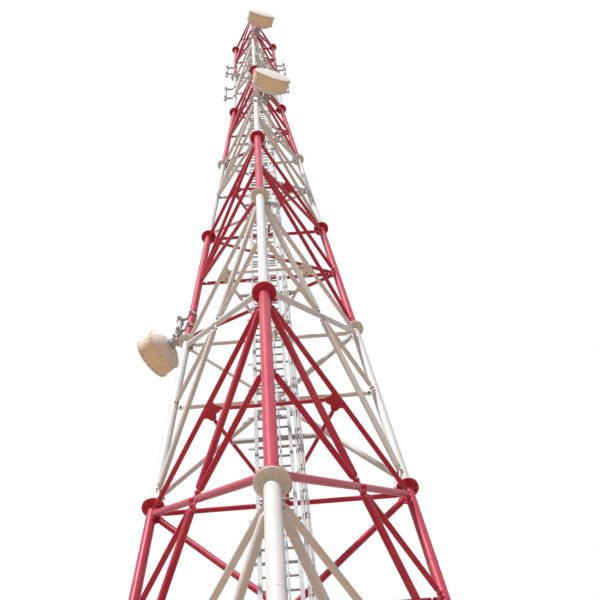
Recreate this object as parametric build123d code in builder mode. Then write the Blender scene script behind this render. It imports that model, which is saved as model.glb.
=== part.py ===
"""Three-legged tubular radio mast at 1:2, built up from flanged sections.

Millimetres, +Z up. The origin is the centre of the underside of the front leg's base plate, so the
mast's own axis stands behind it, at (0, base_circle, 0). Every height is measured from that underside.

Each leg is a chain of pipes with a round flange at both ends and the plates that take the bracing
welded on. The lower sections have crossed diagonals on each side, the upper ones a zigzag of two
half-height panels. A level frame of three ties, braced in plan, closes the top of each section.
"""

import os
from math import cos, radians, sin

from build123d import *

# ---------------------------------------------------------------- driving dimensions
section_height = 3000.0
section_count = 9
tapered_sections = 7  # the sections above these stand upright
crossed_sections = 4  # the sections above these have zigzag sides
plan_braced_levels = 5  # the levels above these are too narrow for bracing in plan
base_circle = 1670.0  # radius of the circle through the leg axes on the ground
top_circle = 462.0  # the same circle from the last tapered section up

# leg pipes, from the ground up
pipe_radius = [45.0, 45.0, 40.0, 40.0, 40.0, 35.0, 35.0, 30.0, 30.0]
pipe_sides = 8  # pipes and flanges are made with few sides, as the bars are
flange_rim = 50.0  # how far a flange stands out past its pipe
flange_thickness = 11.0

# feet
foot_side = 420.0
foot_thickness = 30.0
foot_height = 240.0  # top of the flange that section 1 stands on
foot_rib_thickness = 12.0
foot_rib_setback = 20.0  # from the edge of the base plate to a rib
flange_rib_setback = 8.0  # from the edge of the flange to a rib
anchor_circle = 470.0  # diameter through the anchor holes
anchor_hole_radius = 19.0
anchor_count = 4

# plates welded to the legs, in the planes of the sides
plate_thickness = 8.0
plate_margin = 9.0  # a plate is this much wider than the tongue on it, each side
tie_drop = 95.0  # from a joint to where the axes of its ties and diagonals meet the leg

# bars of the sides
diagonal_radius = 25.0
upper_diagonal_radius = 20.0
middle_tie_radius = 20.0
level_tie_radius = 20.0
bar_sides = 6
tongue_thickness = 6.0
tongue_grip = 45.0  # how far a tongue reaches into its bar
tongue_margin = 1.0  # from the edge of a tongue to the flat of its bar, each side
tongue_lap = 60.0  # how much of a tongue lies on its plate
tongue_clearance = 8.0  # from the pipe to the nearest corner of a tongue
bar_gap = 8.0  # from the edge of a plate to the end of a bar
cross_plate_half = 85.0

# level frames
plan_bar_radius = 15.0
plan_plate_side = 190.0
plan_plate_thickness = 8.0
plan_bar_setback = 45.0  # from the axis of a tie to the end of a plan bar
ladder_beam_side = 30.0

# ladders, both carried on the front faces of the ladder beams
ladder_foot = 400.0
ladder_head_drop = 50.0  # from the top of the mast down to the top of the rails
ladders_half = 206.0  # from the mast's axis to the edge of the cable ladder; the top has no room for more
rail_width = 28.0
rail_depth = 30.0
ladder_width = 283.0
rung_pitch = 150.0
rung_radius = 9.0
rung_sides = 4
ladder_gap = 20.0  # between the two ladders
tray_width = 60.0
tray_rail_width = 8.0
tray_rung_pitch = 300.0
tray_rung_depth = 8.0
tray_rung_height = 16.0
cross_arm_foot = 750.0  # middle of the lowest of the flat arms behind the ladders
cross_arm_pitch = 500.0
cross_arm_height = 30.0
cross_arm_thickness = 8.0
cable_radius = 8.0
cable_count = 2
cable_foot = 700.0

# drum antennas
mount_pipe_radius = 28.0
mount_pipe_tail = 70.0  # past the outermost arm or hub
clamp_wall = 14.0
clamp_height = 46.0
clamp_clearance = 0.3
arm_side = 30.0
bowl_knee = 0.6  # share of the way out from the axis where the two cones of a bowl meet
shroud_lip = 8.0  # how far the shroud stands out past the edge of the bowl
radome_thickness = 12.0
radome_crown = 14.0
radome_bevel = 45.0
hub_depth = 60.0
hub_radius = 62.0
hub_sides = 12

# poles for panel antennas
pole_radius = 22.0
pole_reach = 165.0  # from the leg's axis to the pole's

# lightning rod on the front leg
rod_length = 700.0
rod_radius = 8.0
rod_boss_radius = 20.0
rod_boss_height = 60.0

# ---------------------------------------------------------------- the mast's geometry
FRONT, RIGHT, LEFT = -90.0, 30.0, 150.0  # directions of the legs from the mast's axis
mast_axis = Axis((0, base_circle, 0), (0, 0, 1))
top_height = section_count * section_height
ladder_head = top_height - ladder_head_drop
rail_line = base_circle - ladder_beam_side / 2 - rail_depth / 2
tray_left = ladders_half - tray_width
ladder_left = tray_left - ladder_gap - ladder_width


def leg_circle(height):
    """Radius of the circle through the leg axes at a height."""
    taper = (base_circle - top_circle) / (tapered_sections * section_height)
    return base_circle - taper * min(height, tapered_sections * section_height)


def on_leg(direction, height):
    """Point on a leg's axis."""
    reach = leg_circle(height)
    x = reach * cos(radians(direction))
    y = base_circle + reach * sin(radians(direction))
    return Vector(x, y, height)


def at_level(level):
    """Height of a level or of a place between two; level 0 is the ground."""
    return level * section_height


def joint_height(level):
    """Height of the flange joint at a level; level 0 is the top of the feet."""
    return foot_height if level == 0 else at_level(level)


def side_plane(section):
    """Plane through the front and right legs, x from front to right and z outwards."""
    low, high = joint_height(section - 1), joint_height(section)
    front, right, front_above = on_leg(FRONT, low), on_leg(RIGHT, low), on_leg(FRONT, high)
    along = right - front
    return Plane(origin=(front + right) * 0.5, x_dir=along, z_dir=along.cross(front_above - front))


def in_side(plane, direction, height):
    """Where a leg's axis at a height lies in the plane of a side."""
    return plane.to_local_coords(on_leg(direction, height))


def tie_height(level):
    """Height of the ties of a level frame."""
    return joint_height(level) - tie_drop


def all_round(piece):
    """The same piece on each of the three legs or sides, as solids that don't touch."""
    with BuildPart() as ring:
        for turn in (0, 120, 240):
            add(piece.rotate(mast_axis, turn))
    return ring.part


# ---------------------------------------------------------------- bars and plates
def bar(start, end, radius, facing, sides=bar_sides):
    """Straight bar with flat sides between two points; one corner of it points to facing."""
    with BuildPart() as piece:
        with BuildSketch(Plane(origin=start, x_dir=facing, z_dir=end - start)):
            RegularPolygon(radius, sides)
        extrude(amount=(end - start).length)
    return piece.part


def plate_in_side(plane, outline, lift=-plate_thickness / 2, thickness=plate_thickness):
    """Plate with a straight-edged outline, parallel to a side and lifted outwards from it."""
    with BuildPart() as piece:
        with BuildSketch(plane.offset(lift)):
            with BuildLine():
                Polyline(*outline, close=True)
            make_face()
        extrude(amount=thickness)
    return piece.part


def tongue(plane, tip, toward, length, width):
    """Flat end of a bar, lying on the outer face of a leg's plate."""
    run = (toward - tip).normalized()
    start = plane.from_local_coords(tip) + plane.z_dir * (plate_thickness / 2)
    along = plane.from_local_coords(tip + run) - plane.from_local_coords(tip)
    with BuildPart() as piece:
        with BuildSketch(Plane(origin=start, x_dir=along, z_dir=plane.z_dir)):
            Rectangle(length, width, align=(Align.MIN, Align.CENTER))
        extrude(amount=tongue_thickness)
    return piece.part


def tongue_width(radius):
    """Width of the tongue at the end of a bar, which leaves it between two flats of the bar."""
    return 2 * (radius * cos(radians(180 / bar_sides)) - tongue_margin)


def tip_reach(run, pipe, width):
    """How far from a leg's axis a tongue along run ends, so that both its corners clear the pipe."""
    return (pipe + tongue_clearance + width / 2 * abs(run.Y)) / abs(run.X)


def tongued_bar(plane, start, end, radius, pipe):
    """Bar between two legs of a side, with a tongue at each end on the plate of its leg."""
    run = (end - start).normalized()
    width = tongue_width(radius)
    tip = tip_reach(run, pipe, width)
    bar_start = tip + tongue_lap + bar_gap
    length = bar_start - tip + tongue_grip
    first, last = start + run * bar_start, end - run * bar_start
    with BuildPart() as piece:
        add([
            bar(plane.from_local_coords(first), plane.from_local_coords(last), radius, plane.z_dir),
            tongue(plane, start + run * tip, end, length, width),
            tongue(plane, end - run * tip, start, length, width),
        ])
    return piece.part


# ---------------------------------------------------------------- legs
def arm_corners(run, pipe, radius):
    """The two corners of the edge that a plate has square across the bar that leaves along run."""
    width = tongue_width(radius)
    end = run * (tip_reach(run, pipe, width) + tongue_lap)
    across = Vector(-run.Y, run.X, 0) * (width / 2 + plate_margin)
    return [end + across, end - across]


def leg_plate(plane, centre, pipe, inward, arms, seat):
    """Plate on a leg; arms are the (run, radius) of its bars, from the highest down.

    inward is +1 or -1 along the side's x. seat is the height over the centre of the flange that the
    plate is welded to, negative for a flange below, or None.
    """
    corners = [corner for run, radius in arms for corner in arm_corners(run, pipe, radius)]
    if seat is None:
        outline = [Vector(0, corners[0].Y), *corners, Vector(0, corners[-1].Y)]
    elif seat > 0:
        outline = [Vector(0, seat), Vector(corners[0].X, seat), *corners[1:], Vector(0, corners[-1].Y)]
    else:
        outline = [Vector(0, corners[0].Y), *corners, Vector(corners[-1].X, seat), Vector(0, seat)]
    return plate_in_side(plane, [(centre.X + inward * point.X, centre.Y + point.Y) for point in outline])


def leg_plates(section, plane, direction, inward):
    """The plates of one leg in one side; inward is +1 for the side's front leg and -1 for its other."""
    pipe = pipe_radius[section - 1]
    low = in_side(plane, direction, joint_height(section - 1) + tie_drop)
    high = in_side(plane, direction, joint_height(section) - tie_drop)
    middle = middle_point(section, plane, direction)
    seat = tie_drop - flange_thickness / 2
    level = Vector(1, 0, 0)
    level_tie, middle_tie = (level, level_tie_radius), (level, middle_tie_radius)
    rise, fall = [(end - start).normalized() for start, end in diagonal_ends(section, plane)]
    if inward < 0:
        rise, fall = Vector(fall.X, -fall.Y, 0), Vector(rise.X, -rise.Y, 0)
    up, down = (rise, diagonal_size(section)), (fall, diagonal_size(section))
    if section > crossed_sections and inward > 0:
        plates = [(high, [level_tie], seat), (middle, [up, middle_tie, down], None)]
    else:
        plates = [(high, [level_tie, down], seat), (middle, [middle_tie], None), (low, [up], -seat)]
    return [leg_plate(plane, centre, pipe, inward, arms, edge) for centre, arms, edge in plates]


def diagonal_size(section):
    """Radius of the diagonals of a section."""
    return diagonal_radius if section <= crossed_sections else upper_diagonal_radius


def diagonal_ends(section, plane):
    """The two diagonals of a side, each from the front leg; the first one rises."""
    low, high = joint_height(section - 1) + tie_drop, joint_height(section) - tie_drop
    if section <= crossed_sections:
        starts = [in_side(plane, FRONT, low), in_side(plane, FRONT, high)]
    else:
        starts = [middle_point(section, plane, FRONT)] * 2
    return list(zip(starts, [in_side(plane, RIGHT, high), in_side(plane, RIGHT, low)]))


def middle_point(section, plane, direction):
    """Where the middle tie of a section meets a leg: level with the crossing, or halfway up."""
    low = joint_height(section - 1) + tie_drop
    high = joint_height(section) - tie_drop
    share = 0.5
    if section <= crossed_sections:
        share = leg_circle(low) / (leg_circle(low) + leg_circle(high))
    return in_side(plane, direction, low + share * (high - low))


def leg(section):
    """The front leg's pipe in one section, with its flanges and plates."""
    radius = pipe_radius[section - 1]
    low, high = joint_height(section - 1), joint_height(section)
    flange_inset = flange_thickness / 2
    start, end = on_leg(FRONT, low + flange_inset), on_leg(FRONT, high - flange_inset)
    plane = side_plane(section)
    with BuildPart() as piece:
        with BuildSketch(Plane(origin=start, x_dir=(1, 0, 0), z_dir=end - start)):
            RegularPolygon(radius, pipe_sides)
        extrude(amount=(end - start).length)
        for height in (low, high - flange_thickness):
            seat = on_leg(FRONT, low if height == low else high)
            with BuildSketch(Plane(origin=(seat.X, seat.Y, height))):
                RegularPolygon(joint_flange_radius(section - 1 if height == low else section), pipe_sides)
            extrude(amount=flange_thickness)
        add(leg_plates(section, plane, FRONT, 1))
        add([plate.rotate(mast_axis, -120) for plate in leg_plates(section, plane, RIGHT, -1)])
    return piece.part


def joint_flange_radius(level):
    """Radius of both flanges of a joint, which follows the wider pipe, the one below."""
    return pipe_radius[max(level - 1, 0)] + flange_rim


# ---------------------------------------------------------------- bracing
def side_bracing(section):
    """The diagonals and the middle tie of one side, with a plate where crossed diagonals meet."""
    plane = side_plane(section)
    pipe = pipe_radius[section - 1]
    front_middle, right_middle = middle_point(section, plane, FRONT), middle_point(section, plane, RIGHT)
    members = [tongued_bar(plane, front_middle, right_middle, middle_tie_radius, pipe)]
    for start, end in diagonal_ends(section, plane):
        members.append(tongued_bar(plane, start, end, diagonal_size(section), pipe))
    if section <= crossed_sections:
        half = cross_plate_half
        corners = [(-half, 0), (0, -half), (half, 0), (0, half)]
        members.append(plate_in_side(plane, [(x, front_middle.Y + y) for x, y in corners]))
    with BuildPart() as piece:
        add(members)
    return piece.part


# ---------------------------------------------------------------- level frames
def level_third(level):
    """One tie of a level frame, with the plate and the plan bar that start at its middle."""
    plane = side_plane(level)
    height = tie_height(level)
    pipe = pipe_radius[level - 1]
    start, end = in_side(plane, FRONT, height), in_side(plane, RIGHT, height)
    middle = (on_leg(FRONT, height) + on_leg(RIGHT, height)) * 0.5
    next_middle = (on_leg(RIGHT, height) + on_leg(LEFT, height)) * 0.5
    with BuildPart() as piece:
        add(tongued_bar(plane, start, end, level_tie_radius, pipe))
        if level <= plan_braced_levels:
            inward = Vector(0, base_circle, height) - middle
            seat = middle - Vector(0, 0, plan_plate_thickness / 2)
            with BuildSketch(Plane(origin=seat, x_dir=inward)):
                Rectangle(plan_plate_side / 2, plan_plate_side, align=(Align.MIN, Align.CENTER))
            extrude(amount=plan_plate_thickness)
            run = (next_middle - middle).normalized()
            inner_start, inner_end = middle + run * plan_bar_setback, next_middle - run * plan_bar_setback
            add(bar(inner_start, inner_end, plan_bar_radius, Vector(0, 0, 1)))
    return piece.part


def ladder_beam(level):
    """Square beam across the mast that carries both ladders, between two sides of the level frame."""
    height = tie_height(level)
    reach = leg_circle(height)
    half = reach / 3 ** 0.5  # to the axes of the ties, level with the mast's axis
    if level <= plan_braced_levels:
        half = reach / (2 * 3 ** 0.5)  # to the axes of the plan bars
    with BuildPart() as piece:
        with BuildSketch(Plane(origin=(-half, base_circle, height), z_dir=(1, 0, 0))):
            Rectangle(ladder_beam_side, ladder_beam_side)
        extrude(amount=2 * half)
    return piece.part


# ---------------------------------------------------------------- feet
def foot():
    """Foot of the front leg: base plate with anchor holes, stub pipe, ribs and top flange."""
    radius = pipe_radius[0]
    head = on_leg(FRONT, foot_height)
    plane = Plane(origin=on_leg(FRONT, foot_thickness / 2), x_dir=(1, 0, 0), z_dir=head - on_leg(FRONT, 0))
    with BuildPart() as piece:
        with BuildSketch():
            Rectangle(foot_side, foot_side)
            with PolarLocations(anchor_circle / 2, anchor_count, start_angle=45):
                Circle(anchor_hole_radius, mode=Mode.SUBTRACT)
        extrude(amount=foot_thickness)
        with BuildSketch(plane):
            RegularPolygon(radius, pipe_sides)
        extrude(amount=foot_height - foot_thickness / 2 - flange_thickness / 2)
        with BuildSketch(Plane(origin=(head.X, head.Y, foot_height - flange_thickness))):
            RegularPolygon(joint_flange_radius(0), pipe_sides)
        extrude(amount=flange_thickness)
        rib_top = foot_height - flange_thickness
        rib_reach = foot_side / 2 - foot_rib_setback
        for quarter in (0, 90, 180, 270):
            with BuildSketch(Plane.XZ.rotated((0, 0, quarter)).offset(-foot_rib_thickness / 2)):
                with BuildLine():
                    Polyline((0, foot_thickness), (rib_reach, foot_thickness),
                             (joint_flange_radius(0) - flange_rib_setback, rib_top), (0, rib_top), close=True)
                make_face()
            extrude(amount=foot_rib_thickness)
    return piece.part


# ---------------------------------------------------------------- ladders
def ladder(left, width, rail, pitch, rung):
    """Two upright rails with a rung, given at the lowest place, repeated up them."""
    rungs = int((ladder_head - ladder_foot) / pitch)
    with BuildPart() as piece:
        with BuildSketch(Plane.XY.offset(ladder_foot)):
            with Locations((left + rail / 2, rail_line), (left + width - rail / 2, rail_line)):
                Rectangle(rail, rail_depth)
        extrude(amount=ladder_head - ladder_foot)
        with Locations(*[(0, 0, step * pitch) for step in range(rungs)]):
            add(rung)
    return piece.part


def climbing_rung():
    """The lowest rung of the climbing ladder."""
    height = ladder_foot + rung_pitch / 2
    start = Vector(ladder_left + rail_width / 2, rail_line, height)
    end = start + Vector(ladder_width - rail_width, 0, 0)
    return bar(start, end, rung_radius, Vector(0, 0, 1), rung_sides)


def tray_rung():
    """The lowest rung of the cable ladder, flat so that cables lie against it."""
    height = ladder_foot + tray_rung_pitch / 2
    with BuildPart() as piece:
        start = (tray_left + tray_rail_width / 2, rail_line, height)
        with BuildSketch(Plane(origin=start, x_dir=(0, 1, 0), z_dir=(1, 0, 0))):
            Rectangle(tray_rung_depth, tray_rung_height)
        extrude(amount=tray_width - tray_rail_width)
    return piece.part


def cross_arms():
    """Flat arms across the backs of both ladders, which hold the cable ladder to the climbing one."""
    arms = int((ladder_head - cross_arm_foot) / cross_arm_pitch)
    back = rail_line + rail_depth / 2
    with BuildPart() as piece:
        with Locations(*[(0, back, cross_arm_foot + step * cross_arm_pitch) for step in range(arms)]):
            Box(2 * ladders_half, cross_arm_thickness, cross_arm_height,
                align=(Align.CENTER, Align.MIN, Align.CENTER))
    return piece.part


# ---------------------------------------------------------------- mounts on the legs
def across_leg(direction, height):
    """Plane square across a leg at a height, turned as the leg's pipe is."""
    along = on_leg(direction, height + 1) - on_leg(direction, height)
    sideways = Vector(1, 0, 0).rotate(Axis.Z, direction - FRONT)
    return Plane(origin=on_leg(direction, height), x_dir=sideways, z_dir=along)


def pole_mount(direction, pole, low, high, radius, arm_heights):
    """Upright pole held off a leg by arms, each with a clamp round the leg."""
    with BuildPart() as piece:
        with BuildSketch(Plane(origin=(pole.X, pole.Y, low))):
            RegularPolygon(radius, pipe_sides)
        extrude(amount=high - low)
        for height in arm_heights:
            seat, head = on_leg(direction, height), Vector(pole.X, pole.Y, height)
            with BuildSketch(Plane(origin=seat, z_dir=head - seat)):
                Rectangle(arm_side, arm_side)
            extrude(amount=(head - seat).length)
            pipe = pipe_radius[int(height / section_height)]
            with BuildSketch(across_leg(direction, height)):
                RegularPolygon(pipe + clamp_wall, pipe_sides)
            extrude(amount=clamp_height / 2, both=True)
            with BuildSketch(across_leg(direction, height)):
                RegularPolygon(pipe + clamp_clearance, pipe_sides)
            extrude(amount=clamp_height, both=True, mode=Mode.SUBTRACT)
    return piece.part


def panel_pole(direction, outward, arm_levels, below, above):
    """Bare pole for a panel antenna, outward of a leg along x.

    outward is +1 or -1. below and above are how far the pole runs on past its outermost arms.
    """
    arm_heights = [at_level(level) for level in arm_levels]
    seat = on_leg(direction, arm_heights[0])
    pole = Vector(seat.X + outward * pole_reach, seat.Y, 0)
    low, high = min(arm_heights) - below, max(arm_heights) + above
    return pole_mount(direction, pole, low, high, pole_radius, arm_heights)


# ---------------------------------------------------------------- drum antennas
class Drum:
    """A shrouded dish on a pipe beside a leg: sizes, and the planes that its pieces are made on."""

    def __init__(self, leg_direction, level, radius, depth, bowl, heading, pipe_offset, arm_levels):
        self.leg_direction = leg_direction
        self.arm_heights = [at_level(arm_level) for arm_level in arm_levels]
        self.radius = radius
        self.depth = depth
        self.bowl = bowl
        self.facing = Vector(cos(radians(heading)), sin(radians(heading)), 0)
        seat = on_leg(leg_direction, at_level(level))
        self.pipe = seat + Vector(*pipe_offset, 0)
        self.back = self.pipe + self.facing * (mount_pipe_radius + clamp_wall + hub_depth)

    def profile_plane(self):
        """Plane through the drum's axis, x along it and y upwards."""
        return Plane(origin=self.back, x_dir=self.facing, z_dir=self.facing.cross(Vector(0, 0, 1)))

    def spin(self):
        """The drum's axis."""
        return Axis(self.back, self.facing)

    def drum(self):
        """Bowl of the reflector behind a straight shroud."""
        rim = self.depth - radome_thickness
        edge = self.radius - shroud_lip
        with BuildPart() as piece:
            with BuildSketch(self.profile_plane()):
                with BuildLine():
                    Polyline((0, 0), (0, hub_radius), (self.bowl * bowl_knee ** 2, edge * bowl_knee),
                             (self.bowl, edge), (self.bowl, self.radius), (rim, self.radius),
                             (rim, 0), close=True)
                make_face()
            revolve(axis=self.spin())
        return piece.part

    def radome(self):
        """Cover on the front of the shroud, with a raised face."""
        rim = self.depth - radome_thickness
        crown = self.depth + radome_crown
        with BuildPart() as piece:
            with BuildSketch(self.profile_plane()):
                with BuildLine():
                    Polyline((rim, 0), (rim, self.radius), (self.depth, self.radius),
                             (crown, self.radius - radome_bevel), (crown, 0), close=True)
                make_face()
            revolve(axis=self.spin())
        return piece.part

    def mount(self):
        """Pipe beside the leg with its arms, and the hub that holds the drum."""
        low = min(self.pipe.Z, *self.arm_heights) - mount_pipe_tail
        high = max(self.pipe.Z, *self.arm_heights) + mount_pipe_tail
        with BuildPart() as piece:
            add(pole_mount(self.leg_direction, self.pipe, low, high, mount_pipe_radius, self.arm_heights))
            with BuildSketch(Plane(origin=self.pipe, z_dir=self.facing)):
                RegularPolygon(hub_radius, hub_sides)
            extrude(amount=mount_pipe_radius + clamp_wall + hub_depth)
        return piece.part


# ---------------------------------------------------------------- the mast
os.makedirs("parts", exist_ok=True)


def write(piece, name):
    """Name a finished piece and write it."""
    piece.part.label = name
    export_step(piece.part, f"parts/{name}.step")


with BuildPart() as feet:
    add(all_round(foot()))
write(feet, "feet")

for section in range(1, section_count + 1):
    with BuildPart() as leg_pipes:
        add(all_round(leg(section)))
    write(leg_pipes, f"leg_pipes_{section}")
    with BuildPart() as bracing:
        add(all_round(side_bracing(section)))
    write(bracing, f"side_bracing_{section}")
    with BuildPart() as level_frame:
        add(all_round(level_third(section)))
        add(ladder_beam(section))
    write(level_frame, f"level_frame_{section}")

with BuildPart() as climbing_ladder:
    add(ladder(ladder_left, ladder_width, rail_width, rung_pitch, climbing_rung()))
write(climbing_ladder, "climbing_ladder")

with BuildPart() as cable_ladder:
    add(ladder(tray_left, tray_width, tray_rail_width, tray_rung_pitch, tray_rung()))
    add(cross_arms())
write(cable_ladder, "cable_ladder")

cable_line = rail_line - tray_rung_depth / 2 - cable_radius
cable_pitch = (tray_width - 2 * tray_rail_width) / cable_count
with BuildPart() as feeder_cables:
    with BuildSketch(Plane.XY.offset(cable_foot)):
        for place in range(cable_count):
            with Locations((tray_left + tray_rail_width + (place + 0.5) * cable_pitch, cable_line)):
                RegularPolygon(cable_radius, bar_sides, major_radius=False)
    extrude(amount=ladder_head - cable_foot)
write(feeder_cables, "feeder_cables")

drums = {
    "top": Drum(FRONT, level=8.212, radius=253, depth=286, bowl=84, heading=-70,
                pipe_offset=(80, -30), arm_levels=(8.16, 8.29)),
    "middle": Drum(FRONT, level=5.881, radius=256, depth=273, bowl=80, heading=-68,
                   pipe_offset=(130, -30), arm_levels=(5.84, 6.125)),
    "low": Drum(LEFT, level=4.05, radius=225, depth=260, bowl=75, heading=146,
                pipe_offset=(-110, 30), arm_levels=(4.11, 4.207)),
}
for place, drum in drums.items():
    with BuildPart() as antenna_drum:
        add(drum.drum())
    write(antenna_drum, f"{place}_antenna_drum")
    with BuildPart() as antenna_radome:
        add(drum.radome())
    write(antenna_radome, f"{place}_antenna_radome")
    with BuildPart() as antenna_mount:
        add(drum.mount())
    write(antenna_mount, f"{place}_antenna_mount")

poles = {
    "upper_left_pole": panel_pole(LEFT, -1, arm_levels=(8.127, 8.333), below=230, above=200),
    "lower_left_pole": panel_pole(LEFT, -1, arm_levels=(7.39, 7.643), below=140, above=150),
    "upper_right_pole": panel_pole(RIGHT, 1, arm_levels=(8.127, 8.283), below=430, above=150),
    "lower_right_pole": panel_pole(RIGHT, 1, arm_levels=(7.593, 7.733), below=480, above=150),
}
for name, pole_with_arms in poles.items():
    with BuildPart() as pole:
        add(pole_with_arms)
    write(pole, name)

tip_seat = on_leg(FRONT, top_height)
with BuildPart() as lightning_rod:
    with BuildSketch(Plane(origin=tip_seat)):
        RegularPolygon(rod_boss_radius, pipe_sides)
    extrude(amount=rod_boss_height)
    with BuildSketch(Plane(origin=tip_seat + Vector(0, 0, rod_boss_height))):
        RegularPolygon(rod_radius, bar_sides)
    extrude(amount=rod_length - rod_boss_height)
write(lightning_rod, "lightning_rod")
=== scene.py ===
"""Looks of a three-legged tubular radio mast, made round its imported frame.

Metres, +Z up, in the frame's own coordinates: the origin is under the middle of the front foot and
the mast's axis stands behind it. Steelwork is made for the front leg and the side to its right, and
turned twice round the axis for the others.
"""

import logging
from dataclasses import dataclass
from enum import Enum
from math import cos, pi, radians, sin, sqrt, tau
from typing import Iterable, Sequence

import bpy
from mathutils import Matrix, Vector


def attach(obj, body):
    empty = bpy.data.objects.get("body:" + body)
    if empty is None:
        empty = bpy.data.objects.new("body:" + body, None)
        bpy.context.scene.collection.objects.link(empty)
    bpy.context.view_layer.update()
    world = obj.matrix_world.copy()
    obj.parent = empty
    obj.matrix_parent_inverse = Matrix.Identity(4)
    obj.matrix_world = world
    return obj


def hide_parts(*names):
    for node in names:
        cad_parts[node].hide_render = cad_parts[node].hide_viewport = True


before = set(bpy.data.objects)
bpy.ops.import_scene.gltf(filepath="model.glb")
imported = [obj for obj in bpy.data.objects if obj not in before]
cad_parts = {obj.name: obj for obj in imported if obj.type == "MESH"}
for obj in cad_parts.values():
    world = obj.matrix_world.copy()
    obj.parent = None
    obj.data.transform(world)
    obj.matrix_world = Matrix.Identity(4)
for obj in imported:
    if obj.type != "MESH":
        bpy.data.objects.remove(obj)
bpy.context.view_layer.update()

log = logging.getLogger("mast")
UP = Vector((0, 0, 1))
Point = tuple[float, float]
Outline = Sequence[Point]
Colour = tuple[float, float, float, float]


# ------------------------------------------------------------------ forms
# Profiles of a bolt's parts and of a tube's welded end, for a radius of 1: (radius, height) from the seat up.
WASHER = ((1.9, 0.0), (1.9, 0.35))
HEAD = ((1.73, 0.35), (1.73, 1.35), (1.5, 1.6))
NUT = ((1.73, 0.35), (1.73, 1.75), (1.5, 1.95))
SHANK = ((1.0, 0.35), (1.0, 2.9), (0.8, 3.1))
DOME = tuple((sin(radians(a)), 0.8 * (1 - cos(radians(a)))) for a in (20, 45, 68, 90))

SHARP_CORNER = 0.3  # cosine of half the turn at which an inset corner stops being drawn further in
ROUNDED_SHARE = 0.45  # most of an edge that the rounding of one corner takes
STEEP = 0.9  # rise of a direction from which "up" is no longer a help to hold it level


class Form:
    """Points and faces of one piece while it is put together."""

    def __init__(self) -> None:
        """Start with nothing in it."""
        self.points: list[Vector] = []
        self.faces: list[tuple[int, ...]] = []

    def skin(self, rings: Sequence[Sequence[Vector]], closed: bool = False) -> None:
        """Join rings of equally many points by a skin, with a cap at both ends.

        Args:
            rings: the rings, each running anticlockwise seen from the last one.
            closed: the last ring joins the first one instead of being capped.
        """
        count, base = len(rings[0]), len(self.points)
        for ring in rings:
            self.points.extend(ring)
        for span in range(len(rings) if closed else len(rings) - 1):
            low, high = base + span * count, base + (span + 1) % len(rings) * count
            for i in range(count):
                j = (i + 1) % count
                self.faces.append((low + i, low + j, high + j, high + i))
        if not closed:
            last = base + (len(rings) - 1) * count
            self.faces.append(tuple(base + i for i in reversed(range(count))))
            self.faces.append(tuple(last + i for i in range(count)))

    def add(self, other: "Form", place: Matrix) -> None:
        """Copy another form into this one.

        Args:
            other: the form to copy.
            place: the matrix that moves it.
        """
        base = len(self.points)
        self.points.extend(place @ point for point in other.points)
        self.faces.extend(tuple(base + i for i in face) for face in other.faces)

    def turned(self, place: Matrix, profile: Outline, sides: int, closed: bool = False) -> None:
        """Turn a profile round the z axis of a place.

        Args:
            place: where the axis is.
            profile: (radius, height) pairs from the lowest up.
            sides: how many sides a turn has.
            closed: the profile is a loop, up its outside and down its inside, as a ring's section is.
        """
        spokes = [(cos(tau * i / sides), sin(tau * i / sides)) for i in range(sides)]
        rings = [[place @ Vector((r * c, r * s, h)) for c, s in spokes] for r, h in supported(profile)]
        self.skin(rings, closed)

    def tube(self, start: Vector, end: Vector, radius: float, sides: int, ease: float = 0.12) -> None:
        """Add a round bar between two points, with its ends eased.

        Args:
            start: middle of its first end.
            end: middle of its other end.
            radius: its radius.
            sides: how many sides it has.
            ease: width of the eased edges, as a share of the radius.
        """
        profile = eased(radius, 0.0, (end - start).length, radius * ease)
        self.turned(looking(start, end), profile, sides)

    def capsule(self, start: Vector, end: Vector, radius: float, sides: int) -> None:
        """Add a round bar between two points, closed at its ends by welded domes.

        Args:
            start: middle of its first end.
            end: middle of its other end.
            radius: its radius.
            sides: how many sides it has.
        """
        dome = [(radius * r, radius * h) for r, h in DOME]
        self.turned(looking(start, end), mirrored(dome, (end - start).length), sides)

    def plate(self, place: Matrix, outline: Outline, thickness: float, edge: float = 0.0008) -> None:
        """Add a flat plate with eased edges.

        Args:
            place: its x and y axes hold the outline, and the plate rises from it along z.
            outline: corners, anticlockwise.
            thickness: how thick it is.
            edge: width of the eased edge.
        """
        inner = inset(outline, edge)
        layers = ((inner, 0.0), (outline, edge), (outline, thickness - edge), (inner, thickness))
        self.skin([[place @ Vector((x, y, h)) for x, y in corners] for corners, h in layers])

    def block(self, place: Matrix, size: Sequence[float]) -> None:
        """Add a box with eased edges, centred on a place in x and y and rising from it along z."""
        self.plate(place, rectangle(size[0], size[1]), size[2])

    def bolt(self, place: Matrix, size: float, grip: float) -> None:
        """Add a hexagon bolt with two washers and a nut.

        Args:
            place: the middle of the bolt's head seat, z away from the plates it holds.
            size: radius of its shank.
            grip: thickness of the plates between its washers.
        """
        under = shifted(place, z=-grip) @ Matrix.Rotation(pi, 4, "X")
        for seat, profile, sides in ((place, WASHER, 12), (place, HEAD, 6), (under, WASHER, 12),
                                     (shifted(under, turn=18), NUT, 6), (under, SHANK, 8)):
            self.turned(seat, [(size * r, size * h) for r, h in profile], sides)

    def bolt_circle(self, place: Matrix, circle: float, size: float, grip: float, count: int = 8) -> None:
        """Add a ring of bolts.

        Args:
            place: the middle of the ring, on the seat of the bolts' heads.
            circle: radius of the ring.
            size: radius of a bolt's shank.
            grip: thickness of the plates that the bolts hold.
            count: how many bolts there are.
        """
        for turn in range(count):
            angle = tau * turn / count
            self.bolt(shifted(place, circle * cos(angle), circle * sin(angle)), size, grip)


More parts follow.
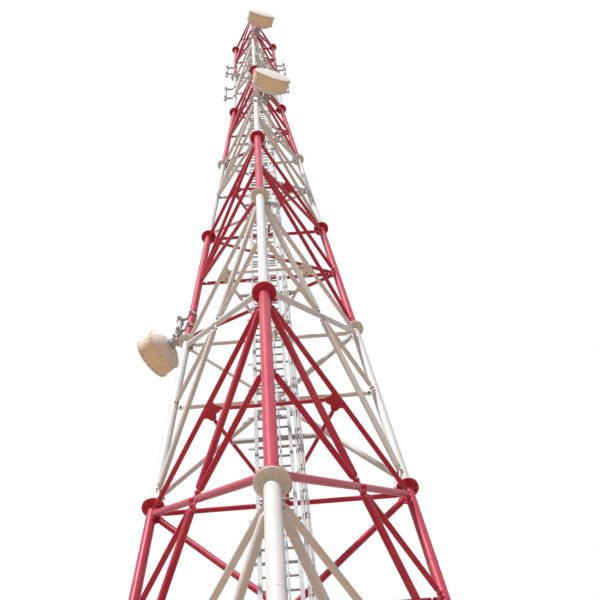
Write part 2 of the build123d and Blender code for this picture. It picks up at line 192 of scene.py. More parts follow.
def eased(radius: float, low: float, high: float, ease: float, rise: float | None = None) -> list[Point]:
    """Profile of a straight round piece with eased ends.

    Args:
        radius: its radius.
        low: where it starts.
        high: where it ends.
        ease: how much narrower its ends are.
        rise: how long the eased ends are, or None where they run at 45 degrees.

    Returns:
        The profile.
    """
    rise = ease if rise is None else rise
    return [(radius - ease, low), (radius, low + rise), (radius, high - rise), (radius - ease, high)]


def mirrored(end: Outline, length: float, between: Outline = ()) -> list[Point]:
    """Profile with the same form at both ends.

    Args:
        end: profile of the first end.
        length: how long the whole piece is.
        between: profile of what is between the ends.

    Returns:
        The profile.
    """
    return [*end, *between, *((r, length - h) for r, h in reversed(end))]


def supported(profile: Outline, margin: float = 0.004, longest: float = 0.032) -> list[Point]:
    """Profile with a point close to both ends of each long run, which keeps its shading straight.

    Args:
        profile: the profile as it is drawn.
        margin: how far from a run's ends its added points are.
        longest: length of the longest run that needs none.

    Returns:
        The profile with the added points.
    """
    points = [profile[0]]
    for (r0, h0), (r1, h1) in zip(profile, profile[1:]):
        length = sqrt((r1 - r0) ** 2 + (h1 - h0) ** 2)
        if length > longest:
            shares = (margin / length, 1 - margin / length)
            points += [(r0 + (r1 - r0) * t, h0 + (h1 - h0) * t) for t in shares]
        points.append((r1, h1))
    return points


def rectangle(width: float, height: float) -> list[Point]:
    """Corners of a rectangle about the origin."""
    x, y = width / 2, height / 2
    return [(-x, -y), (x, -y), (x, y), (-x, y)]


def inset(outline: Outline, width: float) -> list[Point]:
    """Outline moved inwards.

    Args:
        outline: corners, anticlockwise.
        width: how far its edges move.

    Returns:
        The corners of the smaller outline.
    """
    moved = []
    for i, (x, y) in enumerate(outline):
        before, after = outline[i - 1], outline[(i + 1) % len(outline)]
        a = Vector((x - before[0], y - before[1])).normalized()
        b = Vector((after[0] - x, after[1] - y)).normalized()
        left = Vector((-a.y - b.y, a.x + b.x)).normalized()
        reach = width / max(left.dot(Vector((-a.y, a.x))), SHARP_CORNER)
        moved.append((x + left.x * reach, y + left.y * reach))
    return moved


def rounded(outline: Outline, radius: float, steps: int = 3) -> list[Point]:
    """Outline with its corners rounded.

    Args:
        outline: corners, in either order.
        radius: how far from each corner its rounding starts, where the edges are long enough.
        steps: how many edges a rounding has.

    Returns:
        The corners of the rounded outline.
    """
    corners = []
    for i, corner in enumerate(outline):
        here = Vector(corner)
        back, ahead = Vector(outline[i - 1]) - here, Vector(outline[(i + 1) % len(outline)]) - here
        reach = min(radius, back.length * ROUNDED_SHARE, ahead.length * ROUNDED_SHARE)
        first, last = here + back.normalized() * reach, here + ahead.normalized() * reach
        for t in (k / steps for k in range(steps + 1)):
            point = first * (1 - t) ** 2 + here * (2 * t * (1 - t)) + last * t ** 2
            corners.append((point.x, point.y))
    return corners


def frame_of(origin: Vector, x: Vector, y: Vector, z: Vector) -> Matrix:
    """Place with three axes and an origin."""
    return Matrix.Translation(origin) @ Matrix((x, y, z)).transposed().to_4x4()


def looking(start: Vector, end: Vector, sideways: Vector | None = None) -> Matrix:
    """Place at a point with its z axis towards another.

    Args:
        start: the point.
        end: the other point.
        sideways: direction that the x axis comes nearest to; without one, up, or along x where z is steep.

    Returns:
        The place.
    """
    z = (end - start).normalized()
    x = sideways if sideways is not None else (UP if abs(z.z) < STEEP else Vector((1, 0, 0)))
    y = z.cross(x).normalized()
    return frame_of(start, y.cross(z), y, z)


def shifted(place: Matrix, x: float = 0.0, y: float = 0.0, z: float = 0.0, turn: float = 0.0) -> Matrix:
    """Place moved along its own axes and then turned about its z axis, in degrees."""
    return place @ Matrix.Translation((x, y, z)) @ Matrix.Rotation(radians(turn), 4, "Z")


# ------------------------------------------------------------------ finishes
class Link:
    """A node's output, on which arithmetic adds Math nodes."""

    def __init__(self, nodes: "Nodes", socket: bpy.types.NodeSocket) -> None:
        """Hold the output of one of the nodes."""
        self.nodes = nodes
        self.socket = socket

    def math(self, operation: str, first: "Link | float", second: "Link | float") -> "Link":
        """Add a Math node on two values."""
        return self.nodes.node("Math", {"operation": operation}, {0: first, 1: second})

    def __add__(self, other: "Link | float") -> "Link":
        """Sum."""
        return self.math("ADD", self, other)

    def __sub__(self, other: "Link | float") -> "Link":
        """Difference."""
        return self.math("SUBTRACT", self, other)

    def __rsub__(self, other: float) -> "Link":
        """Difference from a number."""
        return self.math("SUBTRACT", other, self)

    def __mul__(self, other: "Link | float") -> "Link":
        """Product."""
        return self.math("MULTIPLY", self, other)

    __radd__ = __add__
    __rmul__ = __mul__


class Nodes:
    """The nodes of a material or of the world."""

    def __init__(self, tree: bpy.types.NodeTree) -> None:
        """Add to a tree of nodes."""
        self.tree = tree

    def node(self, kind: str, settings: dict | None = None, values: dict | None = None,
             output: int | str = 0) -> Link:
        """Add a node.

        Args:
            kind: its type, without the leading ShaderNode.
            settings: its own settings, which are set first.
            values: values or links for its sockets, by name or number.
            output: which output is wanted.

        Returns:
            The output.
        """
        node = self.tree.nodes.new("ShaderNode" + kind)
        for name, setting in (settings or {}).items():
            setattr(node, name, setting)
        for name, value in (values or {}).items():
            self.join(node.inputs[name], value)
        return Link(self, node.outputs[output])

    def join(self, socket: bpy.types.NodeSocket, value: "Link | float | Sequence[float]") -> None:
        """Link or set one socket.

        Args:
            socket: the socket.
            value: a link to it, or the value that it keeps.
        """
        if isinstance(value, Link):
            self.tree.links.new(value.socket, socket)
        else:
            socket.default_value = value

    def blend(self, share: Link | float, first: Link | Colour, second: Link | Colour) -> Link:
        """Colour between two others."""
        return self.node("Mix", {"data_type": "RGBA"}, {0: share, 6: first, 7: second}, output=2)

    def seen(self) -> Link:
        """1 or more on the way of the view, also by metal and glass, and 0 for light that falls on things."""
        camera, glossy, transmission = (self.node("LightPath", output=f"Is {ray} Ray")
                                        for ray in ("Camera", "Glossy", "Transmission"))
        return camera + glossy + transmission


class Shader(Nodes):
    """The nodes of one material, which starts as a bare Principled surface."""

    def __init__(self, name: str) -> None:
        """Make the material.

        Args:
            name: its name.
        """
        self.material = bpy.data.materials.new(name)
        self.material.use_nodes = True
        super().__init__(self.material.node_tree)
        self.surface = self.tree.nodes["Principled BSDF"]
        self.place = self.node("TexCoord", output="Object")

    def noise(self, scale: float, detail: float = 3.0, stretch: Sequence[float] = (1, 1, 1)) -> Link:
        """Noise over the surface.

        Args:
            scale: lumps in a metre.
            detail: how many finer layers it has.
            stretch: scale along x, y and z; less than 1 draws the lumps out.

        Returns:
            The noise, about 0.5.
        """
        place = self.node("VectorMath", {"operation": "MULTIPLY"}, {0: self.place, 1: stretch})
        return self.node("TexNoise", {}, {"Vector": place, "Scale": scale, "Detail": detail})

    def waves(self, axis: str, pitch: float) -> Link:
        """Fine ridges across an axis, with a phase of so many radians in a metre."""
        return self.node("TexWave", {"bands_direction": axis}, {"Vector": self.place, "Scale": pitch / tau})

    def step(self, value: Link, low: float, high: float) -> Link:
        """Smooth step from 0 at low to 1 at high."""
        return self.node("MapRange", {"interpolation_type": "SMOOTHSTEP"}, {0: value, 1: low, 2: high})

    def dress(self, colour: Link, roughness: Link | float, relief: Link, depth: float,
              **constants: float) -> bpy.types.Material:
        """Feed the surface.

        Args:
            colour: base colour.
            roughness: roughness.
            relief: height of the fine relief, about 0 to 1.
            depth: how high the relief stands, in metres.
            constants: other sockets of the surface, with _ for a space.

        Returns:
            The material.
        """
        bump = self.node("Bump", {}, {"Height": relief, "Strength": 1.0, "Distance": depth})
        for name, value in {"Base Color": colour, "Roughness": roughness, "Normal": bump}.items():
            self.join(self.surface.inputs[name], value)
        for name, value in constants.items():
            self.surface.inputs[name.replace("_", " ")].default_value = value
        return self.material


@dataclass(frozen=True)
class Paint:
    """Paint on outdoor steel: faded in broad patches, streaked by rain, with grime and a few chips."""
    name: str
    slot: str
    colour: Colour
    faded: Colour
    streak: Colour
    chip: Colour
    roughness: float = 0.38
    fading: float = 0.55
    brushing: float = 0.25
    streaking: float = 0.45
    griming: float = 0.35
    chipping: float = 1.0
    shine: float = 0.12
    relief: float = 0.0004

    def material(self) -> bpy.types.Material:
        """Make the material."""
        shader = Shader(self.name)
        fade = shader.step(shader.noise(1.4, 3.0), 0.38, 0.66)
        brushed = shader.noise(18.0, 3.0, (1, 1, 0.12))
        rain = shader.step(shader.noise(30.0, 4.0, (1, 1, 0.035)), 0.52, 0.72)
        mottle = shader.noise(70.0, 5.0)
        grime = shader.step(shader.noise(7.0, 6.0), 0.5, 0.75)
        patch = shader.step(shader.noise(5.0, 2.0), 0.56, 0.66)
        chips = shader.step(shader.noise(150.0, 2.0), 0.655, 0.675) * patch * self.chipping
        colour = shader.blend(fade * self.fading + brushed * self.brushing, self.colour, self.faded)
        colour = shader.blend(rain * self.streaking, colour, self.streak)
        colour = shader.blend(grime * mottle * self.griming, colour, self.streak)
        colour = shader.blend(chips, colour, self.chip)
        roughness = mottle * 0.16 + fade * 0.1 + chips * 0.3 + (self.roughness - 0.1)
        relief = mottle * 0.35 + brushed * 0.4 - chips * 0.6
        return shader.dress(colour, roughness, relief, self.relief, Specular_IOR_Level=self.shine)


@dataclass(frozen=True)
class Zinc:
    """Hot-dip galvanised steel: spangle, dull weathered patches and pale runs."""
    name: str
    slot: str
    light: Colour
    dark: Colour
    dull: Colour
    metallic: float = 0.4
    roughness: float = 0.42
    spangles: float = 95.0
    weathering: float = 0.6
    running: float = 0.4
    shine: float = 0.3
    relief: float = 0.0003

    def material(self) -> bpy.types.Material:
        """Make the material."""
        shader = Shader(self.name)
        cells = {"Vector": shader.place, "Scale": self.spangles}
        spangle = shader.node("TexVoronoi", {}, cells, output="Color")
        flake = shader.node("SeparateColor", {}, {0: spangle})
        weather = shader.step(shader.noise(3.5, 5.0), 0.4, 0.68)
        runs = shader.step(shader.noise(34.0, 4.0, (1, 1, 0.05)), 0.54, 0.74)
        grain = shader.noise(160.0, 3.0)
        colour = shader.blend(flake * 0.45 + grain * 0.3, self.light, self.dark)
        colour = shader.blend(weather * self.weathering, colour, self.dull)
        colour = shader.blend(runs * self.running, colour, self.dull)
        roughness = flake * 0.12 + weather * 0.16 + self.roughness
        return shader.dress(colour, roughness, flake * 0.25 + grain * 0.5, self.relief,
                            Metallic=self.metallic, Specular_IOR_Level=self.shine)


@dataclass(frozen=True)
class Jacket:
    """Grey plastic jacket of a feeder cable, corrugated under its skin and pale with dust."""
    name: str
    slot: str
    colour: Colour
    dust: Colour
    corrugation: float = 900.0
    roughness: float = 0.42
    relief: float = 0.0006

    def material(self) -> bpy.types.Material:
        """Make the material."""
        shader = Shader(self.name)
        dusty = shader.step(shader.noise(26.0, 5.0, (1, 1, 0.2)), 0.35, 0.7)
        fine = shader.noise(240.0, 3.0)
        rings = shader.waves("Z", self.corrugation)
        colour = shader.blend(dusty * 0.5 + fine * 0.15, self.colour, self.dust)
        return shader.dress(colour, dusty * 0.3 + self.roughness, rings * 0.6 + fine * 0.2, self.relief)


@dataclass(frozen=True)
class Cover:
    """Moulded radome cover: a cloth-reinforced skin, pale, with rain marks and a dusty rim."""
    name: str
    slot: str
    colour: Colour
    stain: Colour
    weave: float = 420.0
    roughness: float = 0.42
    relief: float = 0.0002

    def material(self) -> bpy.types.Material:
        """Make the material."""
        shader = Shader(self.name)
        cloth = shader.waves("X", self.weave) * 0.5 + shader.waves("Z", self.weave) * 0.5
        marks = shader.step(shader.noise(16.0, 5.0, (1, 1, 0.18)), 0.5, 0.78)
        cloud = shader.noise(2.5, 4.0)
        colour = shader.blend(marks * 0.35 + cloud * 0.2, self.colour, self.stain)
        return shader.dress(colour, cloud * 0.15 + self.roughness, cloth, self.relief)


class Finish(Enum):
    """The finishes of the mast, each with the record's slot that it belongs to."""
    RED = Paint("mast_red", "red_paint", colour=(0.54, 0.038, 0.082, 1), faded=(0.62, 0.086, 0.125, 1),
                streak=(0.32, 0.022, 0.055, 1), chip=(0.55, 0.50, 0.47, 1))
    WHITE = Paint("mast_white", "white_paint", colour=(0.82, 0.82, 0.81, 1), faded=(0.77, 0.76, 0.74, 1),
                  streak=(0.62, 0.56, 0.47, 1), chip=(0.36, 0.22, 0.14, 1), streaking=0.3, chipping=0.7)
    ZINC = Zinc("mast_zinc", "galvanised", light=(0.52, 0.53, 0.55, 1), dark=(0.38, 0.40, 0.42, 1),
                dull=(0.46, 0.46, 0.46, 1), metallic=0.15, roughness=0.55)
    BOLT = Zinc("bolt_zinc", "galvanised", light=(0.40, 0.38, 0.36, 1), dark=(0.20, 0.18, 0.17, 1),
                dull=(0.30, 0.25, 0.21, 1), roughness=0.5)
    CABLE = Jacket("feeder_jacket", "cable_jacket", colour=(0.50, 0.50, 0.48, 1), dust=(0.66, 0.64, 0.60, 1))
    # The shroud's tan is partly its own cream enamel and partly painted warm shade: the sandy bounce light on
    # its shaded sides is put into its colour.
    SHROUD = Paint("shroud_enamel_and_warm_shade", "shroud_paint", colour=(0.93, 0.80, 0.60, 1), faded=(0.94, 0.85, 0.70, 1),
                   streak=(0.62, 0.50, 0.36, 1), chip=(0.62, 0.62, 0.60, 1), roughness=0.46, chipping=0.5)
    BOWL = Paint("bowl_enamel", "shroud_paint", colour=(0.93, 0.86, 0.77, 1), faded=(0.93, 0.88, 0.81, 1),
                 streak=(0.74, 0.65, 0.54, 1), chip=(0.62, 0.62, 0.60, 1), roughness=0.46, chipping=0.5)
    RADOME = Cover("radome_skin", "radome", colour=(0.84, 0.82, 0.77, 1), stain=(0.70, 0.66, 0.59, 1))


materials = {finish: finish.value.material() for finish in Finish}
SHARP_EDGE = 33.0  # degrees between two faces over which the edge between them shades sharp


def place_piece(form: Form, name: str, finish: Finish, nodes: Iterable[str] = ()) -> None:
    """Turn a form into an object of the scene that rides on the mast.

    Args:
        form: its points and faces.
        name: the object's name.
        finish: its finish, which also names its slot in the record.
        nodes: the frame's nodes that it stands for.
    """
    mesh = bpy.data.meshes.new(name)
    mesh.from_pydata(form.points, [], form.faces)
    mesh.shade_smooth()
    mesh.set_sharp_from_angle(angle=radians(SHARP_EDGE))
    mesh.materials.append(materials[finish])
    piece = bpy.data.objects.new(name, mesh)
    bpy.context.scene.collection.objects.link(piece)
    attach(piece, "root")
    for node in nodes:
        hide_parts(node)
    log.info("%s: %d faces, %s", name, len(form.faces), finish.value.slot)


# ------------------------------------------------------------------ the mast's layout
class Leg(Enum):
    """Directions of the legs from the mast's axis, in degrees."""
    FRONT = -90.0
    RIGHT = 30.0
    LEFT = 150.0


@dataclass(frozen=True)
class Mast:
    """Sizes of the mast and the places of its members."""
    section_height: float = 3.0
    sections: int = 9
    tapered: int = 7
    crossed: int = 4
    plan_braced: int = 5
    base_circle: float = 1.67
    top_circle: float = 0.462
    foot_height: float = 0.24
    tie_drop: float = 0.095
    pipes: tuple[float, ...] = (0.045, 0.045, 0.040, 0.040, 0.040, 0.035, 0.035, 0.030, 0.030)
    rim: float = 0.050
    bolt_share: float = 0.56
    flange: float = 0.011
    plate: float = 0.008
    tie: float = 0.020
    diagonal_radii: tuple[float, float] = (0.025, 0.020)

    def circle(self, height: float) -> float:
        """Radius of the circle through the leg axes at a height."""
        taper = (self.base_circle - self.top_circle) / (self.tapered * self.section_height)
        return self.base_circle - taper * min(height, self.tapered * self.section_height)

    def on_leg(self, leg: Leg, height: float) -> Vector:
        """Point on a leg's axis."""
        reach, turn = self.circle(height), radians(leg.value)
        return Vector((reach * cos(turn), self.base_circle + reach * sin(turn), height))

    def across_leg(self, leg: Leg, height: float) -> Matrix:
        """Place square across a leg, with its x axis along the circle."""
        sideways = Matrix.Rotation(radians(leg.value - Leg.FRONT.value), 3, "Z") @ Vector((1, 0, 0))
        return looking(self.on_leg(leg, height), self.on_leg(leg, height + 1), sideways)

    def joint(self, level: int) -> float:
        """Height of the flange joint at a level; level 0 is the top of the feet."""
        return self.section_height * level if level else self.foot_height

    def flange_radius(self, level: int) -> float:
        """Radius of both flanges of a joint."""
        return self.pipes[max(level - 1, 0)] + self.rim

    def bolt_circle(self, level: int) -> float:
        """Radius of the ring of bolts of a joint."""
        return self.pipes[max(level - 1, 0)] + self.rim * self.bolt_share

    def diagonal(self, section: int) -> float:
        """Radius of the diagonals of a section."""
        return self.diagonal_radii[section > self.crossed]

    def tie_height(self, level: int) -> float:
        """Height of the ties of a level frame."""
        return self.joint(level) - self.tie_drop

    def about_axis(self, turn: float) -> Matrix:
        """Turn about the mast's axis, in degrees."""
        axis = Matrix.Translation((0, self.base_circle, 0))
        return axis @ Matrix.Rotation(radians(turn), 4, "Z") @ axis.inverted()

    def side(self, section: int) -> Matrix:
        """Plane through the front and right legs.

        Args:
            section: the section that it is for.

        Returns:
            The plane, with x from front to right, y upwards and z outwards.
        """
        low, high = self.joint(section - 1), self.joint(section)
        front, right = self.on_leg(Leg.FRONT, low), self.on_leg(Leg.RIGHT, low)
        along = (right - front).normalized()
        outward = along.cross(self.on_leg(Leg.FRONT, high) - front).normalized()
        return frame_of((front + right) / 2, along, outward.cross(along), outward)

    def in_side(self, section: int, leg: Leg, height: float) -> Vector:
        """Where a leg's axis at a height lies in the plane of a side."""
        point = self.side(section).inverted() @ self.on_leg(leg, height)
        return Vector((point.x, point.y))

    def middle(self, section: int, leg: Leg) -> Vector:
        """Where a section's middle tie meets a leg: level with the crossing, or halfway up.

        Args:
            section: the section.
            leg: the front or right leg.

        Returns:
            The place in the plane of the side.
        """
        low = self.joint(section - 1) + self.tie_drop
        high = self.joint(section) - self.tie_drop
        share = 0.5
        if section <= self.crossed:
            share = self.circle(low) / (self.circle(low) + self.circle(high))
        return self.in_side(section, leg, low + share * (high - low))

    def diagonals(self, section: int) -> list[tuple[Vector, Vector]]:
        """The two diagonals of a side.

        Args:
            section: the section that the side is part of.

        Returns:
            The ends of each, from the front leg to the right one; the first one rises.
        """
        low, high = self.joint(section - 1) + self.tie_drop, self.joint(section) - self.tie_drop
        starts = [self.middle(section, Leg.FRONT)] * 2
        if section <= self.crossed:
            starts = [self.in_side(section, Leg.FRONT, low), self.in_side(section, Leg.FRONT, high)]
        return list(zip(starts, [self.in_side(section, Leg.RIGHT, height) for height in (high, low)]))

    def paint(self, section: int) -> Finish:
        """Colour band of a section."""
        return Finish.RED if section % 2 else Finish.WHITE

    def bolt_finish(self, section: int) -> Finish:
        """The bolts of a red section are painted over, those of a white one are bare."""
        return Finish.RED if section % 2 else Finish.BOLT

    def all_round(self, form: Form) -> Form:
        """The same form on each of the three legs or sides.

        Args:
            form: the form on the front leg or on the side to its right.

        Returns:
            A form with the three.
        """
        ring = Form()
        for turn in (0, 120, 240):
            ring.add(form, self.about_axis(turn))
        return ring


mast = Mast()


# ------------------------------------------------------------------ steelwork
FLANGE_EASE = 0.0012
FLANGE_SIDES = 56
PIPE_SIDES = 40
JOINT_BOLT = 0.0058
WELD_SIDES = 6
# Profile of the fillet between a leg pipe and its flange, for a weld of size 1: (out from the pipe, along).
FILLET = ((1.0, -0.5), (0.7, 0.45), (0.2, 0.9), (0.0, 1.2))
# Profiles in metres: of the bead between the two lengths of a leg pipe, and of the fillet on a foot's stub.
BEAD = ((0.0, -0.005), (0.0016, -0.002), (0.0016, 0.002), (0.0, 0.005))
STUB_FILLET = ((0.007, -0.002), (0.005, 0.004), (0.0, 0.009))


def flange(steel: Form, seat: Vector, height: float, level: int) -> None:
    """Add a round flange to the front leg.

    Args:
        steel: the form that takes it.
        seat: a point that it is centred over or under.
        height: height of its underside.
        level: level of the joint that it is part of.
    """
    profile = eased(mast.flange_radius(level), 0.0, mast.flange, FLANGE_EASE)
    steel.turned(Matrix.Translation((seat.x, seat.y, height)), profile, FLANGE_SIDES)


def joint_bolts(steel: Form, level: int) -> None:
    """Add the bolts of a joint of the front leg, which hold two flanges or, at the top, one.

    Args:
        steel: the form that takes them.
        level: level of the joint.
    """
    upper = 0 if level == mast.sections else 1
    head = mast.on_leg(Leg.FRONT, mast.joint(level)) + UP * (mast.flange * upper)
    grip = mast.flange * (1 + upper)
    steel.bolt_circle(Matrix.Translation(head), mast.bolt_circle(level), JOINT_BOLT, grip)


@dataclass(frozen=True)
class Bar:
    """Tube with a flat tongue bolted to a plate at each end, in the plane of a side."""
    radius: float
    lap: float = 0.030
    gap: float = 0.008
    buried: float = 0.020
    thickness: float = 0.006
    clearance: float = 0.008
    bolt: float = 0.0062
    plate_margin: float = 0.009
    rounding: float = 0.008
    sides: int = 24

    def width(self) -> float:
        """Width of the tongue."""
        return 2 * (self.radius * cos(pi / 6) - 0.001)

    def reach(self, run: Vector, pipe: float) -> float:
        """How far from the axis of a leg with a pipe of that radius a tongue along run ends."""
        return (pipe + self.clearance + self.width() / 2 * abs(run.y)) / abs(run.x)

    def corners(self, run: Vector, first: float) -> list[Vector]:
        """The corners of the edge that a plate has square across the bar that leaves along run."""
        across = Vector((-run.y, run.x)) * (self.width() / 2 + self.plate_margin)
        return [run * (first + self.lap) + across, run * (first + self.lap) - across]

    def make(self, steel: Form, bolts: Form, side: Matrix, ends: tuple[Vector, Vector],
             tips: tuple[float, float], cuts: tuple[int, int] = (1, 1)) -> None:
        """Make the bar.

        Args:
            steel: the form that takes the tube and its tongues.
            bolts: the form that takes the bolts.
            side: the plane that the bar lies in.
            ends: points that its axis runs between.
            tips: how far from each of them its tongues end.
            cuts: 1 for a tongue cut along the leg that it meets, 0 for one with a square end.
        """
        start, end = ends
        run, half = (end - start).normalized(), self.width() / 2
        seats = []
        for tip, way, cut in ((start + run * tips[0], run, cuts[0]), (end - run * tips[1], -run, cuts[1])):
            slope = cut * way.y / way.x
            slant = abs(slope) * half
            seat = max(self.lap - slant, 0.0)
            inner, skew = seat + self.gap + self.buried, slope * half
            outline = [(-skew - slant, -half), (inner, -half), (inner, half), (skew - slant, half)]
            x, y = Vector((*way, 0)), Vector((-way.y, way.x, 0))
            place = side @ frame_of(Vector((*tip, mast.plate / 2)), x, y, UP)
            steel.plate(place, rounded(outline, self.rounding), self.thickness)
            head = shifted(place, x=(seat - slant) / 2, z=self.thickness)
            bolts.bolt(head, self.bolt, self.thickness + mast.plate)
            seats.append(side @ Vector((*(tip + way * (seat + self.gap)), 0)))
        steel.capsule(seats[0], seats[1], self.radius, self.sides)


@dataclass(frozen=True)
class Legs:
    """The three leg pipes of a section with their flanges, joint bolts and welded plates."""
    section: int
    weld: float = 0.006
    seam_share: float = 0.67
    rounding: float = 0.008
    plate_weld: float = 0.0042
    weld_share: float = 0.99

    def build(self) -> None:
        """Make the legs of the section."""
        steel = Form()
        self.pipe(steel)
        low, high = mast.joint(self.section - 1), mast.joint(self.section)
        flange(steel, mast.on_leg(Leg.FRONT, low), low, self.section - 1)
        flange(steel, mast.on_leg(Leg.FRONT, high), high - mast.flange, self.section)
        joint_bolts(steel, self.section)
        side = mast.side(self.section)
        self.plates(steel, side, Leg.FRONT, 1)
        others = Form()
        self.plates(others, side, Leg.RIGHT, -1)
        steel.add(others, mast.about_axis(-120))
        place_piece(mast.all_round(steel), f"legs_{self.section}", mast.paint(self.section),
                    [f"leg_pipes_{self.section}"])

    def pipe(self, steel: Form) -> None:
        """The front leg's pipe, with fillets at its flanges and a bead between its two lengths.

        Args:
            steel: the form that takes it.
        """
        low, high = mast.joint(self.section - 1) + mast.flange, mast.joint(self.section) - mast.flange
        start, end = mast.on_leg(Leg.FRONT, low), mast.on_leg(Leg.FRONT, high)
        length, radius = (end - start).length, mast.pipes[self.section - 1]
        fillet = [(radius + self.weld * out, self.weld * along) for out, along in FILLET]
        bead = [(radius + out, length * self.seam_share + along) for out, along in BEAD]
        steel.turned(looking(start, end), mirrored(fillet, length, bead), PIPE_SIDES)

    def plates(self, steel: Form, side: Matrix, leg: Leg, inward: int) -> None:
        """The plates of one leg in one side.

        Args:
            steel: the form that takes them.
            side: the plane that they lie in.
            leg: the leg they stand on.
            inward: 1 for the side's front leg and -1 for its other.
        """
        low = mast.in_side(self.section, leg, mast.joint(self.section - 1) + mast.tie_drop)
        high = mast.in_side(self.section, leg, mast.joint(self.section) - mast.tie_drop)
        seat = mast.tie_drop - mast.flange / 2
        rise, fall = [(end - start).normalized() for start, end in mast.diagonals(self.section)]
        if inward < 0:
            rise, fall = Vector((fall.x, -fall.y)), Vector((rise.x, -rise.y))
        diagonal = Bar(mast.diagonal(self.section))
        up, down, across = (rise, diagonal), (fall, diagonal), (Vector((1, 0)), Bar(mast.tie))
        middle = mast.middle(self.section, leg)
        if self.section > mast.crossed and inward > 0:
            plates = [(high, [across], seat), (middle, [up, across, down], None)]
        else:
            plates = [(high, [across, down], seat), (middle, [across], None), (low, [up], -seat)]
        for centre, arms, edge in plates:
            self.plate(steel, side, centre, inward, arms, edge)

    def plate(self, steel: Form, side: Matrix, centre: Vector, inward: int, arms: list[tuple[Vector, Bar]],
              seat: float | None) -> None:
        """One plate, with the weld beads that hold it to the pipe.

        Args:
            steel: the form that takes it.
            side: the plane that it lies in.
            centre: the place on the leg's axis that its bars point to.
            inward: 1 or -1, along the side's x axis.
            arms: the direction and bar of each of its bars, from the highest down.
            seat: height over the centre of the flange that it is welded to, or None.
        """
        pipe = mast.pipes[self.section - 1]
        corners = [corner for run, bar in arms for corner in bar.corners(run, bar.reach(run, pipe))]
        top, bottom = corners[0].y, corners[-1].y
        if seat is not None and seat > 0:
            corners, top = [Vector((corners[0].x, seat)), *corners[1:]], seat
        elif seat is not None:
            corners, bottom = [*corners[:-1], Vector((corners[-1].x, seat))], seat
        outline = [Vector((0, top)), *corners, Vector((0, bottom))]
        points = [(centre.x + inward * point.x, centre.y + point.y) for point in outline]
        if inward > 0:
            points.reverse()
        steel.plate(shifted(side, z=-mast.plate / 2), rounded(points, self.rounding, 2), mast.plate)
        for face in (-1, 1):
            x, z = centre.x + inward * pipe * self.weld_share, face * mast.plate / 2
            low, high = (side @ Vector((x, centre.y + y, z)) for y in (bottom, top))
            steel.tube(low, high, self.plate_weld, WELD_SIDES)


@dataclass(frozen=True)
class SideBracing:
    """The diagonals and middle ties of a section's three sides, bolted together where they cross."""
    section: int
    crossing_tip: float = 0.036
    crossing_plate: float = 0.092
    rounding: float = 0.005

    def build(self) -> None:
        """Make the bracing of the section."""
        steel, bolts = Form(), Form()
        side, pipe = mast.side(self.section), mast.pipes[self.section - 1]
        tie = (mast.middle(self.section, Leg.FRONT), mast.middle(self.section, Leg.RIGHT))
        members = [(tie, Bar(mast.tie))]
        members += [(ends, Bar(mast.diagonal(self.section))) for ends in mast.diagonals(self.section)]
        if self.section <= mast.crossed:
            self.crossing(steel, bolts, side, members)
        else:
            for (start, end), bar in members:
                reach = bar.reach((end - start).normalized(), pipe)
                bar.make(steel, bolts, side, (start, end), (reach, reach))
        place_piece(mast.all_round(steel), f"bracing_{self.section}", mast.paint(self.section),
                    [f"side_bracing_{self.section}"])
        place_piece(mast.all_round(bolts), f"bracing_bolts_{self.section}", mast.bolt_finish(self.section))

    def crossing(self, steel: Form, bolts: Form, side: Matrix,
                 members: list[tuple[tuple[Vector, Vector], Bar]]) -> None:
        """The half bars of a crossed side and the plate in its middle.

        Args:
            steel: the form that takes the bars and the plate.
            bolts: the form that takes the bolts.
            side: the plane that they lie in.
            members: the ends and bar of each whole member.
        """
        centre, pipe = Vector((0, members[0][0][0].y)), mast.pipes[self.section - 1]
        arms = []
        for ends, bar in members:
            for end in ends:
                run = (end - centre).normalized()
                bar.make(steel, bolts, side, (centre, end), (self.crossing_tip, bar.reach(run, pipe)), (0, 1))
                corners = bar.corners(run, self.crossing_plate - bar.lap)
                arms.append((run.angle_signed(Vector((1, 0))), corners))
        arms.sort(key=lambda arm: arm[0])
        outline = [tuple(centre + corner) for _, corners in arms for corner in reversed(corners)]
        steel.plate(shifted(side, z=-mast.plate / 2), rounded(outline, self.rounding, 2), mast.plate)


